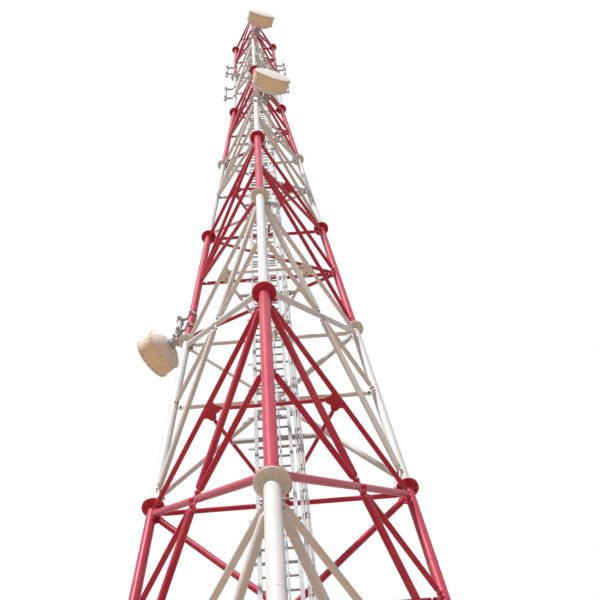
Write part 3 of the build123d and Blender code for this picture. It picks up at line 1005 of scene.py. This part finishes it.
@dataclass(frozen=True)
class LevelFrame:
    """The ties that close the top of a section, braced in plan on the wider levels, and the ladder beam."""
    level: int
    plan_radius: float = 0.015
    plan_sides: int = 20
    plan_plate: float = 0.190
    plan_reach: float = 0.108
    plan_edge: float = 0.021
    plan_waist: tuple[float, float] = (0.42, 0.66)
    plan_notch: float = 0.76
    plan_rounding: float = 0.012
    plan_setback: float = 0.045
    plan_lap: float = 0.050
    plan_gap: float = 0.014
    tongue_width: float = 0.024
    tongue_thickness: float = 0.005
    tongue_rounding: float = 0.008
    plan_bolt: float = 0.0042
    plan_bolts: tuple[float, float] = (0.016, 0.046)
    beam: float = 0.030
    beam_wall: float = 0.004

    def build(self) -> None:
        """Make the frame of the level."""
        steel, bolts = Form(), Form()
        height = mast.tie_height(self.level)
        ends = tuple(mast.in_side(self.level, leg, height) for leg in (Leg.FRONT, Leg.RIGHT))
        tie = Bar(mast.tie)
        reach = tie.reach(Vector((1, 0)), mast.pipes[self.level - 1])
        tie.make(steel, bolts, mast.side(self.level), ends, (reach, reach))
        if self.level <= mast.plan_braced:
            self.plan(steel, bolts, height)
        beam = Form()
        self.ladder_beam(beam, height)
        place_piece(mast.all_round(steel), f"frame_{self.level}", mast.paint(self.level),
                    [f"level_frame_{self.level}"])
        place_piece(beam, f"ladder_beam_{self.level}", Finish.ZINC)
        place_piece(mast.all_round(bolts), f"frame_bolts_{self.level}", mast.bolt_finish(self.level))

    def plan(self, steel: Form, bolts: Form, height: float) -> None:
        """The plate at the middle of a tie and the plan bar that starts there.

        Args:
            steel: the form that takes them.
            bolts: the form that takes the bolts.
            height: height of the tie.
        """
        front, right, left = (mast.on_leg(leg, height) for leg in (Leg.FRONT, Leg.RIGHT, Leg.LEFT))
        middle, after = (front + right) / 2, (right + left) / 2
        inward = (Vector((0, mast.base_circle, height)) - middle).normalized()
        half, lift = self.plan_plate / 2, UP * (mast.plate / 2)
        along_bar = Matrix.Rotation(radians(-30), 2)
        lower, edge = along_bar @ Vector((self.plan_reach, 0)), along_bar @ Vector((0, self.plan_edge))
        outline = [(0, -half), (half * self.plan_waist[0], -half * self.plan_waist[1]), tuple(lower - edge),
                   tuple(lower + edge)]
        outline += [(self.plan_reach * self.plan_notch, 0), *((x, -y) for x, y in reversed(outline))]
        place = frame_of(middle - lift, inward, UP.cross(inward), UP)
        steel.plate(place, rounded(outline, self.plan_rounding), mast.plate)
        tongue = rounded(rectangle(2 * self.plan_lap, self.tongue_width), self.tongue_rounding)
        run = (after - middle).normalized()
        for seat, way in ((middle + run * self.plan_setback, run), (after - run * self.plan_setback, -run)):
            tip = looking(seat + lift, seat + lift + UP, way)
            steel.plate(shifted(tip, x=self.plan_lap), tongue, self.tongue_thickness)
            for x in self.plan_bolts:
                bolts.bolt(shifted(tip, x=x, z=self.tongue_thickness), self.plan_bolt,
                           self.tongue_thickness + mast.plate)
        tube = self.plan_setback + self.plan_lap + self.plan_gap
        steel.capsule(middle + run * tube, after - run * tube, self.plan_radius, self.plan_sides)

    def ladder_beam(self, steel: Form, height: float) -> None:
        """The angle across the mast that carries the ladders.

        Args:
            steel: the form that takes it.
            height: height of its middle.
        """
        half = mast.circle(height) / sqrt(3)
        if self.level <= mast.plan_braced:
            half /= 2
        side, wall = self.beam / 2, self.beam_wall
        outline = [(-side, -side), (side, -side), (side, side), (side - wall, side),
                   (side - wall, wall - side), (-side, wall - side)]
        start = Vector((-half, mast.base_circle, height))
        place = frame_of(start, Vector((0, -1, 0)), UP, Vector((-1, 0, 0)))
        steel.plate(shifted(place, z=-2 * half), outline, 2 * half)


@dataclass(frozen=True)
class Feet:
    """The three feet: base plate on anchor bolts, stub pipe, ribs and top flange."""
    side: float = 0.420
    thickness: float = 0.030
    rounding: float = 0.012
    edge: float = 0.002
    rib: float = 0.012
    rib_start: float = 0.6
    rib_setback: float = 0.020
    rib_toe: float = 0.022
    rib_head: float = 0.012
    rib_rounding: float = 0.006
    rib_weld: float = 0.005
    flange_setback: float = 0.008
    anchor_circle: float = 0.470
    anchor_radius: float = 0.014
    anchor_height: float = 0.095
    washer: float = 4.4
    washer_thickness: float = 0.008
    washer_rounding: float = 0.004
    nuts: tuple[tuple[float, float, float], ...] = ((0.008, 0.024, 7.2), (0.0335, 0.016, 30.15))
    nut: float = 1.85
    nut_ease: tuple[float, float] = (0.25, 0.002)
    root: float = 0.9
    tip: float = 0.75
    thread_start: float = 0.0495
    thread_pitch: float = 0.0016
    threads: int = 26
    thread_sides: int = 16

    def build(self) -> None:
        """Make the feet."""
        steel, anchors = Form(), Form()
        base = rounded(rectangle(self.side, self.side), self.rounding)
        steel.plate(Matrix.Identity(4), base, self.thickness, self.edge)
        radius, top = mast.pipes[0], mast.foot_height - mast.flange
        start, end = mast.on_leg(Leg.FRONT, self.thickness), mast.on_leg(Leg.FRONT, top)
        fillet = [(radius + out, along) for out, along in STUB_FILLET]
        steel.turned(looking(start, end), mirrored(fillet, (end - start).length), PIPE_SIDES)
        flange(steel, end, top, 0)
        joint_bolts(steel, 0)
        self.ribs(steel, radius * self.rib_start, top)
        for corner in (45, 135, 225, 315):
            spot = Vector((cos(radians(corner)), sin(radians(corner)), 0)) * self.anchor_circle / 2
            self.anchor(anchors, Matrix.Translation(spot + UP * self.thickness))
        place_piece(mast.all_round(steel), "foot_steel", Finish.RED, ["feet"])
        place_piece(mast.all_round(anchors), "foot_anchors", Finish.ZINC)

    def ribs(self, steel: Form, inner: float, top: float) -> None:
        """Four ribs between the base plate and the flange, with their weld beads.

        Args:
            steel: the form that takes them.
            inner: how far from the stub's axis they start, inside its wall.
            top: height of the flange's underside.
        """
        low, high = self.side / 2 - self.rib_setback, mast.flange_radius(0) - self.flange_setback
        outline = [(inner, self.thickness), (low, self.thickness), (low, self.thickness + self.rib_toe),
                   (high, top - self.rib_head), (high, top), (inner, top)]
        for quarter in range(4):
            turned = Matrix.Rotation(quarter * pi / 2, 4, "Z")
            place = frame_of(Vector((0, self.rib / 2, 0)), Vector((1, 0, 0)), UP, Vector((0, -1, 0)))
            steel.plate(turned @ place, rounded(outline, self.rib_rounding, 2), self.rib, FLANGE_EASE)
            for face in (-1, 1):
                seam = [turned @ Vector((x, face * self.rib / 2, self.thickness)) for x in (inner, low)]
                steel.tube(seam[0], seam[1], self.rib_weld, WELD_SIDES)

    def anchor(self, anchors: Form, place: Matrix) -> None:
        """A threaded anchor rod with a square washer and two nuts.

        Args:
            anchors: the form that takes it.
            place: on the rod's axis, at the top of the base plate.
        """
        size, root = self.anchor_radius, self.anchor_radius * self.root
        washer = rounded(rectangle(size * self.washer, size * self.washer), self.washer_rounding, 1)
        anchors.plate(place, washer, self.washer_thickness)
        for seat, height, turn in self.nuts:
            nut = eased(self.nut * size, 0.0, height, self.nut_ease[0] * size, self.nut_ease[1])
            anchors.turned(shifted(place, z=seat, turn=turn), nut, 6)
        thread = [(size if i % 2 else root, self.thread_start + i * self.thread_pitch)
                  for i in range(self.threads)]
        rod = [(root, 0.0), *thread, (size * self.tip, self.anchor_height)]
        anchors.turned(place, rod, self.thread_sides)


# ------------------------------------------------------------------ ladders and cables
@dataclass(frozen=True)
class Ladders:
    """The climbing ladder with its fall-arrest rail, the cable ladder beside it and the arms behind both."""
    half: float = 0.206
    setback: float = 0.015
    foot: float = 0.400
    head: float = 26.950
    rail: float = 0.028
    depth: float = 0.030
    wall: float = 0.004
    width: float = 0.283
    pitch: float = 0.150
    rung: float = 0.009
    rung_sides: int = 10
    gap: float = 0.020
    tray: float = 0.060
    tray_rail: float = 0.008
    tray_pitch: float = 0.300
    tray_rung: tuple[float, float] = (0.008, 0.016)
    cable_clip: float = 0.022
    clip_slack: float = 0.005
    clip_bolt: tuple[float, float] = (0.003, 0.018)
    arm_foot: float = 0.750
    arm_pitch: float = 0.500
    arm_size: tuple[float, float] = (0.030, 0.008)
    arm_bolt: float = 0.0042
    cable: float = 0.008
    cable_sides: int = 16
    cables: int = 2
    cable_foot: float = 0.700
    arrest_x: float = 0.034
    arrest_rail: tuple[float, float] = (0.012, 0.009)
    arrest_setback: float = 0.0085
    arrest_clip: tuple[float, float, float] = (0.026, 0.006, 0.028)
    clip_setback: float = 0.002
    clip_every: int = 6

    def line(self) -> float:
        """Distance along y of the middle of the rails."""
        return mast.base_circle - self.setback - self.depth / 2

    def left(self) -> float:
        """Left edge of the climbing ladder."""
        return self.half - self.tray - self.gap - self.width

    def build(self) -> None:
        """Make the ladders and their cables."""
        self.climbing()
        self.cable_ladder()
        self.feeders()

    def upright(self, form: Form, outline: Outline, x: float, y: float, turn: float = 0.0) -> None:
        """A rolled section as tall as the ladders, turned about its axis, in degrees."""
        form.plate(shifted(Matrix.Identity(4), x, y, self.foot, turn), outline, self.head - self.foot)

    def heights(self, first: float, pitch: float, margin: float) -> list[float]:
        """Heights of what is repeated up the ladders at a pitch, up to a margin over their head."""
        return [first + pitch * i for i in range(int((self.head - first + margin) / pitch))]

    def climbing(self) -> None:
        """Channel rails, round rungs and the fall-arrest rail on clips."""
        steel = Form()
        x, y, wall = self.rail / 2, self.depth / 2, self.wall
        channel = [(-x, -y), (x, -y), (x, wall - y), (wall - x, wall - y),
                   (wall - x, y - wall), (x, y - wall), (x, y), (-x, y)]
        left, right, line = self.left(), self.left() + self.width, self.line()
        self.upright(steel, channel, left + x, line)
        self.upright(steel, channel, right - x, line, 180)
        rungs = self.heights(self.foot + self.pitch / 2, self.pitch, self.pitch / 2)
        for height in rungs:
            steel.tube(Vector((left + wall, line, height)), Vector((right - wall, line, height)), self.rung,
                       self.rung_sides)
        front = line - self.rung
        arrest = rounded(rectangle(*self.arrest_rail), self.clip_setback, 1)
        self.upright(steel, arrest, self.arrest_x, front - self.arrest_setback)
        for height in rungs[2::self.clip_every]:
            seat = Vector((self.arrest_x, front - self.clip_setback, height - self.arrest_clip[2] / 2))
            steel.block(Matrix.Translation(seat), self.arrest_clip)
        place_piece(steel, "climbing_ladder_steel", Finish.ZINC, ["climbing_ladder"])

    def cable_ladder(self) -> None:
        """The narrow cable ladder and the flat arms that tie it to the climbing ladder."""
        steel, bolts = Form(), Form()
        line, right, edge = self.line(), self.half, self.tray_rail / 2
        for x in (right - self.tray + edge, right - edge):
            self.upright(steel, rectangle(self.tray_rail, self.depth), x, line)
        middle = right - self.tray / 2
        deep, tall = self.tray_rung
        front = line - deep / 2
        clip = rectangle(self.tray - 2.2 * self.tray_rail, 2 * self.cable + self.clip_slack)
        for height in self.heights(self.foot + self.tray_pitch / 2, self.tray_pitch, self.tray_pitch / 2):
            steel.block(Matrix.Translation((middle, line, height - tall / 2)),
                        (self.tray - self.tray_rail, deep, tall))
            place = Matrix.Translation((middle, front - self.cable, height - self.cable_clip / 2))
            steel.plate(place, rounded(clip, 0.006, 2), self.cable_clip)
            head = Vector((middle, front - 2 * self.cable - self.clip_slack / 2, height))
            bolts.bolt(looking(head, Vector((middle, 0, height))), *self.clip_bolt)
        arm_height, arm_depth = self.arm_size
        back = line + self.depth / 2
        for height in self.heights(self.arm_foot, self.arm_pitch, 0.0):
            place = Matrix.Translation((0, back + arm_depth / 2, height - arm_height / 2))
            steel.block(place, (2 * self.half, arm_depth, arm_height))
            for x in (self.left() + self.rail / 2, self.left() + self.width - self.rail / 2):
                head = looking(Vector((x, back - self.wall, height)), Vector((x, 0, height)))
                bolts.bolt(head, self.arm_bolt, self.wall + arm_depth)
        place_piece(steel, "cable_ladder_steel", Finish.ZINC, ["cable_ladder"])
        place_piece(bolts, "ladder_bolts", Finish.BOLT)

    def feeders(self) -> None:
        """The feeder cables, which lie on the rungs of the cable ladder."""
        cables = Form()
        pitch = (self.tray - 2 * self.tray_rail) / self.cables
        y = self.line() - self.tray_rung[0] / 2 - self.cable
        for place in range(self.cables):
            x = self.half - self.tray + self.tray_rail + (place + 0.5) * pitch
            foot, head = Vector((x, y, self.cable_foot)), Vector((x, y, self.head))
            cables.tube(foot, head, self.cable, self.cable_sides)
        place_piece(cables, "feeders", Finish.CABLE, ["feeder_cables"])


# ------------------------------------------------------------------ antennas
@dataclass(frozen=True)
class PoleMount:
    """Upright pipe held off a leg by square arms, each with a bolted clamp round the leg."""
    leg: Leg
    pole: Vector
    low: float
    high: float
    radius: float
    arms: tuple[float, ...]
    arm: float = 0.030
    arm_rounding: float = 0.004
    sides: int = 28
    clamp_wall: float = 0.014
    clamp_height: float = 0.046
    clamp_ease: float = 0.001
    clamp_slack: float = 0.0002
    ear: tuple[float, float] = (0.026, 0.008)
    ear_offset: float = 0.009
    ear_gap: float = 0.012
    ear_bolt: float = 0.0036
    ear_bolts: float = 0.012

    def make(self, steel: Form, bolts: Form) -> None:
        """Add the pipe, its arms and their clamps.

        Args:
            steel: the form that takes them.
            bolts: the form that takes the clamps' bolts.
        """
        foot, head = (Vector((self.pole.x, self.pole.y, z)) for z in (self.low, self.high))
        ease = self.radius * 0.35
        profile = eased(self.radius, 0.0, self.high - self.low, ease, ease * 0.5)
        steel.turned(looking(foot, head), profile, self.sides)
        section = rounded(rectangle(self.arm, self.arm), self.arm_rounding, 1)
        for height in self.arms:
            seat, end = mast.on_leg(self.leg, height), Vector((self.pole.x, self.pole.y, height))
            run, pipe = (end - seat).normalized(), mast.pipes[int(height / mast.section_height)]
            start = seat + run * pipe
            steel.plate(looking(start, end, UP), section, (end - start).length)
            self.clamp(steel, bolts, mast.across_leg(self.leg, height), pipe, run)
            self.clamp(steel, bolts, Matrix.Translation(end), self.radius, run)

    def clamp(self, steel: Form, bolts: Form, place: Matrix, radius: float, run: Vector) -> None:
        """A two-piece clamp round a pipe, with its ears square across the arm.

        Args:
            steel: the form that takes it.
            bolts: the form that takes its bolts.
            place: on the pipe's axis, with z along it.
            radius: the pipe's radius.
            run: the direction of the arm.
        """
        outer, inner, half = radius + self.clamp_wall * 0.7, radius + self.clamp_slack, self.clamp_height / 2
        loop = [*eased(outer, -half, half, self.clamp_ease), (inner, half), (inner, -half)]
        steel.turned(place, loop, self.sides, closed=True)
        axis = place.to_3x3() @ UP
        across = axis.cross(run).normalized()
        width, thickness = self.ear
        grip = self.ear_gap + thickness
        for way in (-1, 1):
            middle = place.translation + across * way * (outer + self.ear_offset)
            ear = looking(middle - run * grip / 2, middle + run * grip / 2, axis)
            for shift in (0.0, self.ear_gap):
                steel.block(shifted(ear, z=shift), (self.clamp_height * 0.9, width, thickness))
            for height in (-self.ear_bolts, self.ear_bolts):
                bolts.bolt(shifted(ear, x=height, z=grip), self.ear_bolt, grip)


@dataclass(frozen=True)
class Drum:
    """A shrouded dish on a pipe beside a leg."""
    name: str
    leg: Leg
    level: float
    radius: float
    depth: float
    bowl: float
    heading: float
    offset: tuple[float, float]
    arm_levels: tuple[float, ...]
    sides: int = 96
    lip: float = 0.008
    bead: float = 0.002
    roll: float = 0.022
    rim: float = 0.024
    cover: float = 0.012
    crown: float = 0.014
    ribs: int = 12
    rib: float = 0.004
    rib_span: tuple[float, float] = (0.8, 0.62)
    rib_tip: tuple[float, float] = (0.36, 0.41)
    rim_bolts: int = 24
    rim_bolt: tuple[float, float] = (0.0032, 0.004)
    pipe: float = 0.028
    pipe_tail: float = 0.070
    standoff: float = 0.102
    hub: float = 0.062
    hub_flange: float = 0.016
    hub_sides: int = 36
    hub_bolt: float = 0.0036
    saddle: tuple[float, float] = (0.034, 0.112)
    saddle_rise: float = 0.045
    saddle_face: float = 0.034
    saddle_bolt: float = 0.0045
    saddle_bolts: float = 0.044

    def build(self) -> None:
        """Make the drum, its cover and its mount."""
        height = self.level * mast.section_height
        seat = mast.on_leg(self.leg, height)
        pole = Vector((seat.x + self.offset[0], seat.y + self.offset[1], height))
        facing = Vector((cos(radians(self.heading)), sin(radians(self.heading)), 0))
        back = looking(pole + facing * self.standoff, pole + facing * (self.standoff + 1), UP)
        bolts = Form()
        self.shroud(back, bolts)
        self.face(back)
        arms = tuple(level * mast.section_height for level in self.arm_levels)
        low, high = min(height, *arms) - self.pipe_tail, max(height, *arms) + self.pipe_tail
        steel = Form()
        PoleMount(self.leg, pole, low, high, self.pipe, arms).make(steel, bolts)
        self.bracket(steel, bolts, looking(pole, pole + facing, UP))
        place_piece(steel, f"{self.name}_drum_mount", Finish.ZINC, [f"{self.name}_antenna_mount"])
        place_piece(bolts, f"{self.name}_drum_bolts", Finish.BOLT)

    def shroud(self, back: Matrix, bolts: Form) -> None:
        """The spun bowl with the ribs on its back, and the straight shroud with its rolled edges.

        Args:
            back: the middle of the bowl's back, with z towards the face.
            bolts: the form that takes the bolts of the rim.
        """
        bowl, drum = Form(), Form()
        edge, rim, side = self.radius - self.lip, self.depth - self.cover, self.radius + self.bead
        curve = [(self.hub + (edge - self.hub) * t, self.bowl * t ** 2) for t in (k / 12 for k in range(13))]
        bowl.turned(back, [(0.01, 0.0), *curve, (edge, self.bowl + self.bead)], self.sides)
        wall, ease = self.radius - 0.001, 0.004
        roll = eased(side, self.bowl, self.bowl + self.roll, side - wall, ease)
        lip = [(wall, rim - self.rim), (side, rim - self.rim + ease), (side, rim)]
        drum.turned(back, [*roll, *lip], self.sides)
        inner, outer = self.hub * self.rib_span[0], edge * self.rib_span[1]
        tip = [(outer, self.bowl * height) for height in self.rib_tip]
        outline = [(inner, self.rib), *tip, (inner, 5 * self.rib)]
        for spoke in range(self.ribs):
            rib = shifted(back, turn=spoke * 360 / self.ribs) @ Matrix.Rotation(pi / 2, 4, "X")
            bowl.plate(shifted(rib, z=-self.rib / 2), outline, self.rib)
        for turn in range(self.rim_bolts):
            angle = 360 * (turn + 0.5) / self.rim_bolts
            for height in (self.bowl + self.roll / 2, rim - self.cover):
                seat = shifted(shifted(back, z=height, turn=angle), x=side) @ Matrix.Rotation(pi / 2, 4, "Y")
                bolts.bolt(seat, *self.rim_bolt)
        place_piece(drum, f"{self.name}_drum_shroud", Finish.SHROUD, [f"{self.name}_antenna_drum"])
        place_piece(bowl, f"{self.name}_drum_bowl", Finish.BOWL)

    def face(self, back: Matrix) -> None:
        """The cover on the front, a little crowned, with a rim that laps over the shroud.

        Args:
            back: the middle of the bowl's back, with z towards the face.
        """
        cover = Form()
        rim, side = self.depth - self.cover, self.radius + 2 * self.bead
        profile = [(self.radius - 2 * self.bead, rim - self.bead), (side, rim), (side, self.depth - 0.003),
                   (self.radius + 0.001, self.depth)]
        profile += [(self.radius * (1 - t), self.depth + self.crown * (1 - (1 - t) ** 2))
                    for t in (0.02, 0.06, 0.12, 0.2, 0.32, 0.46, 0.62, 0.8, 0.985)]
        cover.turned(back, profile, self.sides)
        place_piece(cover, f"{self.name}_drum_face", Finish.RADOME, [f"{self.name}_antenna_radome"])

    def bracket(self, steel: Form, bolts: Form, place: Matrix) -> None:
        """The hub behind the bowl, with the saddles and the bolts that clasp the pipe.

        Args:
            steel: the form that takes it.
            bolts: the form that takes its bolts.
            place: on the pipe's axis, with z towards the face.
        """
        hub, reach = self.hub, self.standoff
        front = reach - self.hub_flange
        profile = [(hub * 0.55, 0.020), (hub * 0.62, 0.024), (hub * 0.62, reach - 0.030), (hub, front),
                   (hub, reach + 0.003)]
        steel.turned(place, profile, self.hub_sides)
        for turn in range(8):
            seat = shifted(shifted(place, z=front, turn=turn * 45 + 22), x=hub * 0.82)
            bolts.bolt(seat @ Matrix.Rotation(pi, 4, "X"), self.hub_bolt, self.hub_flange)
        for height in (-self.saddle_rise, self.saddle_rise):
            saddle = shifted(place, x=height)
            for seat, thickness in ((0.012, 0.022), (-self.saddle_face, 0.016)):
                steel.block(shifted(saddle, z=seat), (*self.saddle, thickness))
            for y in (-self.saddle_bolts, self.saddle_bolts):
                bolts.bolt(shifted(saddle, y=y, z=self.saddle_face), self.saddle_bolt, 2 * self.saddle_face)
            steel.block(shifted(saddle, z=self.saddle_face), (0.016, 0.070, reach - 0.060))


@dataclass(frozen=True)
class PanelPole:
    """Bare pole for a panel antenna, outward of a leg along x."""
    name: str
    leg: Leg
    outward: int
    arm_levels: tuple[float, float]
    below: float
    above: float
    radius: float = 0.022
    reach: float = 0.165

    def build(self) -> None:
        """Make the pole with its arms and clamps."""
        arms = tuple(level * mast.section_height for level in self.arm_levels)
        seat = mast.on_leg(self.leg, arms[0])
        pole = Vector((seat.x + self.outward * self.reach, seat.y, arms[0]))
        low, high = min(arms) - self.below, max(arms) + self.above
        steel, bolts = Form(), Form()
        PoleMount(self.leg, pole, low, high, self.radius, arms).make(steel, bolts)
        place_piece(steel, f"{self.name}_steel", Finish.ZINC, [self.name])
        place_piece(bolts, f"{self.name}_bolts", Finish.BOLT)


@dataclass(frozen=True)
class LightningRod:
    """The rod on top of the front leg."""
    length: float = 0.700
    radius: float = 0.008
    sides: int = 16
    shoulder: float = 0.060
    boss: float = 0.020
    boss_height: float = 0.060
    boss_sides: int = 28

    def build(self) -> None:
        """Make the rod and its boss."""
        rod = Form()
        place = Matrix.Translation(mast.on_leg(Leg.FRONT, mast.sections * mast.section_height))
        boss, tall = self.boss, self.boss_height
        profile = [(boss + 0.005, 0.0), (boss, 0.007), (boss, tall - 0.006), (boss * 0.6, tall)]
        rod.turned(place, profile, self.boss_sides)
        profile = [(self.radius, tall - 0.004), (self.radius, self.length - self.shoulder),
                   (self.radius * 0.55, self.length - self.shoulder / 2), (self.radius * 0.08, self.length)]
        rod.turned(place, profile, self.sides)
        place_piece(rod, "lightning_rod_steel", Finish.ZINC, ["lightning_rod"])


# ------------------------------------------------------------------ the view
@dataclass(frozen=True)
class Studio:
    """Floor, light and camera."""
    floor_size: float = 160.0
    floor_corner: float = 8.0
    floor_thickness: float = 0.02
    pale: tuple[Colour, Colour] = ((0.66, 0.655, 0.64, 1), (0.70, 0.69, 0.675, 1))
    sand: tuple[Colour, Colour] = ((0.44, 0.275, 0.155, 1), (0.41, 0.265, 0.155, 1))
    ambient: Colour = (0.20, 0.25, 0.34, 1)
    sun: float = 4.1
    sun_from: tuple[float, float, float] = (-0.32, -0.66, 0.84)
    sun_angle: float = 3.0
    eye: tuple[float, float, float] = (0.0951, -2.677, 0.850)
    turn: tuple[float, float, float] = (0.049623, 1.188493, -0.121641)
    lens: float = 72.0
    sensor: float = 36.0
    sight: float = 400.0

    def build(self) -> None:
        """Make the floor, the lamp, the world and the camera."""
        self.floor()
        self.light()
        self.camera()
        bpy.context.scene.view_settings.view_transform = "Standard"

    def floor(self) -> None:
        """A plain floor, pale where it is seen and sandy in the light that it throws up."""
        shader = Shader("pale_floor")
        cloud = shader.noise(0.25, 3.0)
        colour = shader.blend(shader.seen(), shader.blend(cloud, *self.sand), shader.blend(cloud, *self.pale))
        material = shader.dress(colour, 0.8, shader.noise(30.0, 3.0), 0.0005)
        form = Form()
        outline = rounded(rectangle(self.floor_size, self.floor_size), self.floor_corner, 6)
        form.plate(Matrix.Translation((0, 0, -self.floor_thickness)), outline, self.floor_thickness, 0.002)
        mesh = bpy.data.meshes.new("floor")
        mesh.from_pydata(form.points, [], form.faces)
        mesh.materials.append(material)
        floor = bpy.data.objects.new("floor", mesh)
        bpy.context.scene.collection.objects.link(floor)

    def light(self) -> None:
        """A soft sun in front, and a world that is white to the view and lights things dimly in blue."""
        lamp = bpy.data.lights.new("sun", "SUN")
        lamp.energy, lamp.angle = self.sun, radians(self.sun_angle)
        stand = bpy.data.objects.new("sun", lamp)
        stand.rotation_euler = Vector(self.sun_from).to_track_quat("Z", "Y").to_euler()
        bpy.context.scene.collection.objects.link(stand)
        world = bpy.data.worlds.new("sky")
        bpy.context.scene.world = world
        world.use_nodes = True
        nodes = Nodes(world.node_tree)
        nodes.join(nodes.tree.nodes["Background"].inputs["Color"],
                   nodes.blend(nodes.seen(), self.ambient, (1, 1, 1, 1)))

    def camera(self) -> None:
        """The camera, low in front of the front leg and looking up the mast, rolled a little."""
        yaw, pitch, roll = self.turn
        ahead = Vector((sin(yaw) * cos(pitch), cos(yaw) * cos(pitch), sin(pitch)))
        level = Vector((cos(yaw), -sin(yaw), 0))
        above = level.cross(ahead)
        right = level * cos(roll) + above * sin(roll)
        up = above * cos(roll) - level * sin(roll)
        data = bpy.data.cameras.new("camera")
        data.lens, data.sensor_width, data.clip_end = self.lens, self.sensor, self.sight
        camera = bpy.data.objects.new("camera", data)
        camera.matrix_world = frame_of(Vector(self.eye), right, up, -ahead)
        bpy.context.scene.collection.objects.link(camera)
        bpy.context.scene.camera = camera


DRUMS = (
    Drum("top", Leg.FRONT, 8.212, 0.253, 0.286, 0.084, -70, (0.080, -0.030), (8.16, 8.29)),
    Drum("middle", Leg.FRONT, 5.881, 0.256, 0.273, 0.080, -68, (0.130, -0.030), (5.84, 6.125)),
    Drum("low", Leg.LEFT, 4.05, 0.225, 0.260, 0.075, 146, (-0.110, 0.030), (4.11, 4.207)),
)
POLES = (
    PanelPole("upper_left_pole", Leg.LEFT, -1, (8.127, 8.333), below=0.230, above=0.200),
    PanelPole("lower_left_pole", Leg.LEFT, -1, (7.39, 7.643), below=0.140, above=0.150),
    PanelPole("upper_right_pole", Leg.RIGHT, 1, (8.127, 8.283), below=0.430, above=0.150),
    PanelPole("lower_right_pole", Leg.RIGHT, 1, (7.593, 7.733), below=0.480, above=0.150),
)


def main() -> None:
    """Build the mast from the ground up, then the view."""
    logging.basicConfig(level=logging.INFO, format="%(name)s: %(message)s")
    Feet().build()
    for section in range(1, mast.sections + 1):
        Legs(section).build()
        SideBracing(section).build()
        LevelFrame(section).build()
    Ladders().build()
    for antenna in (*DRUMS, *POLES):
        antenna.build()
    LightningRod().build()
    Studio().build()


if __name__ == "__main__":
    main()
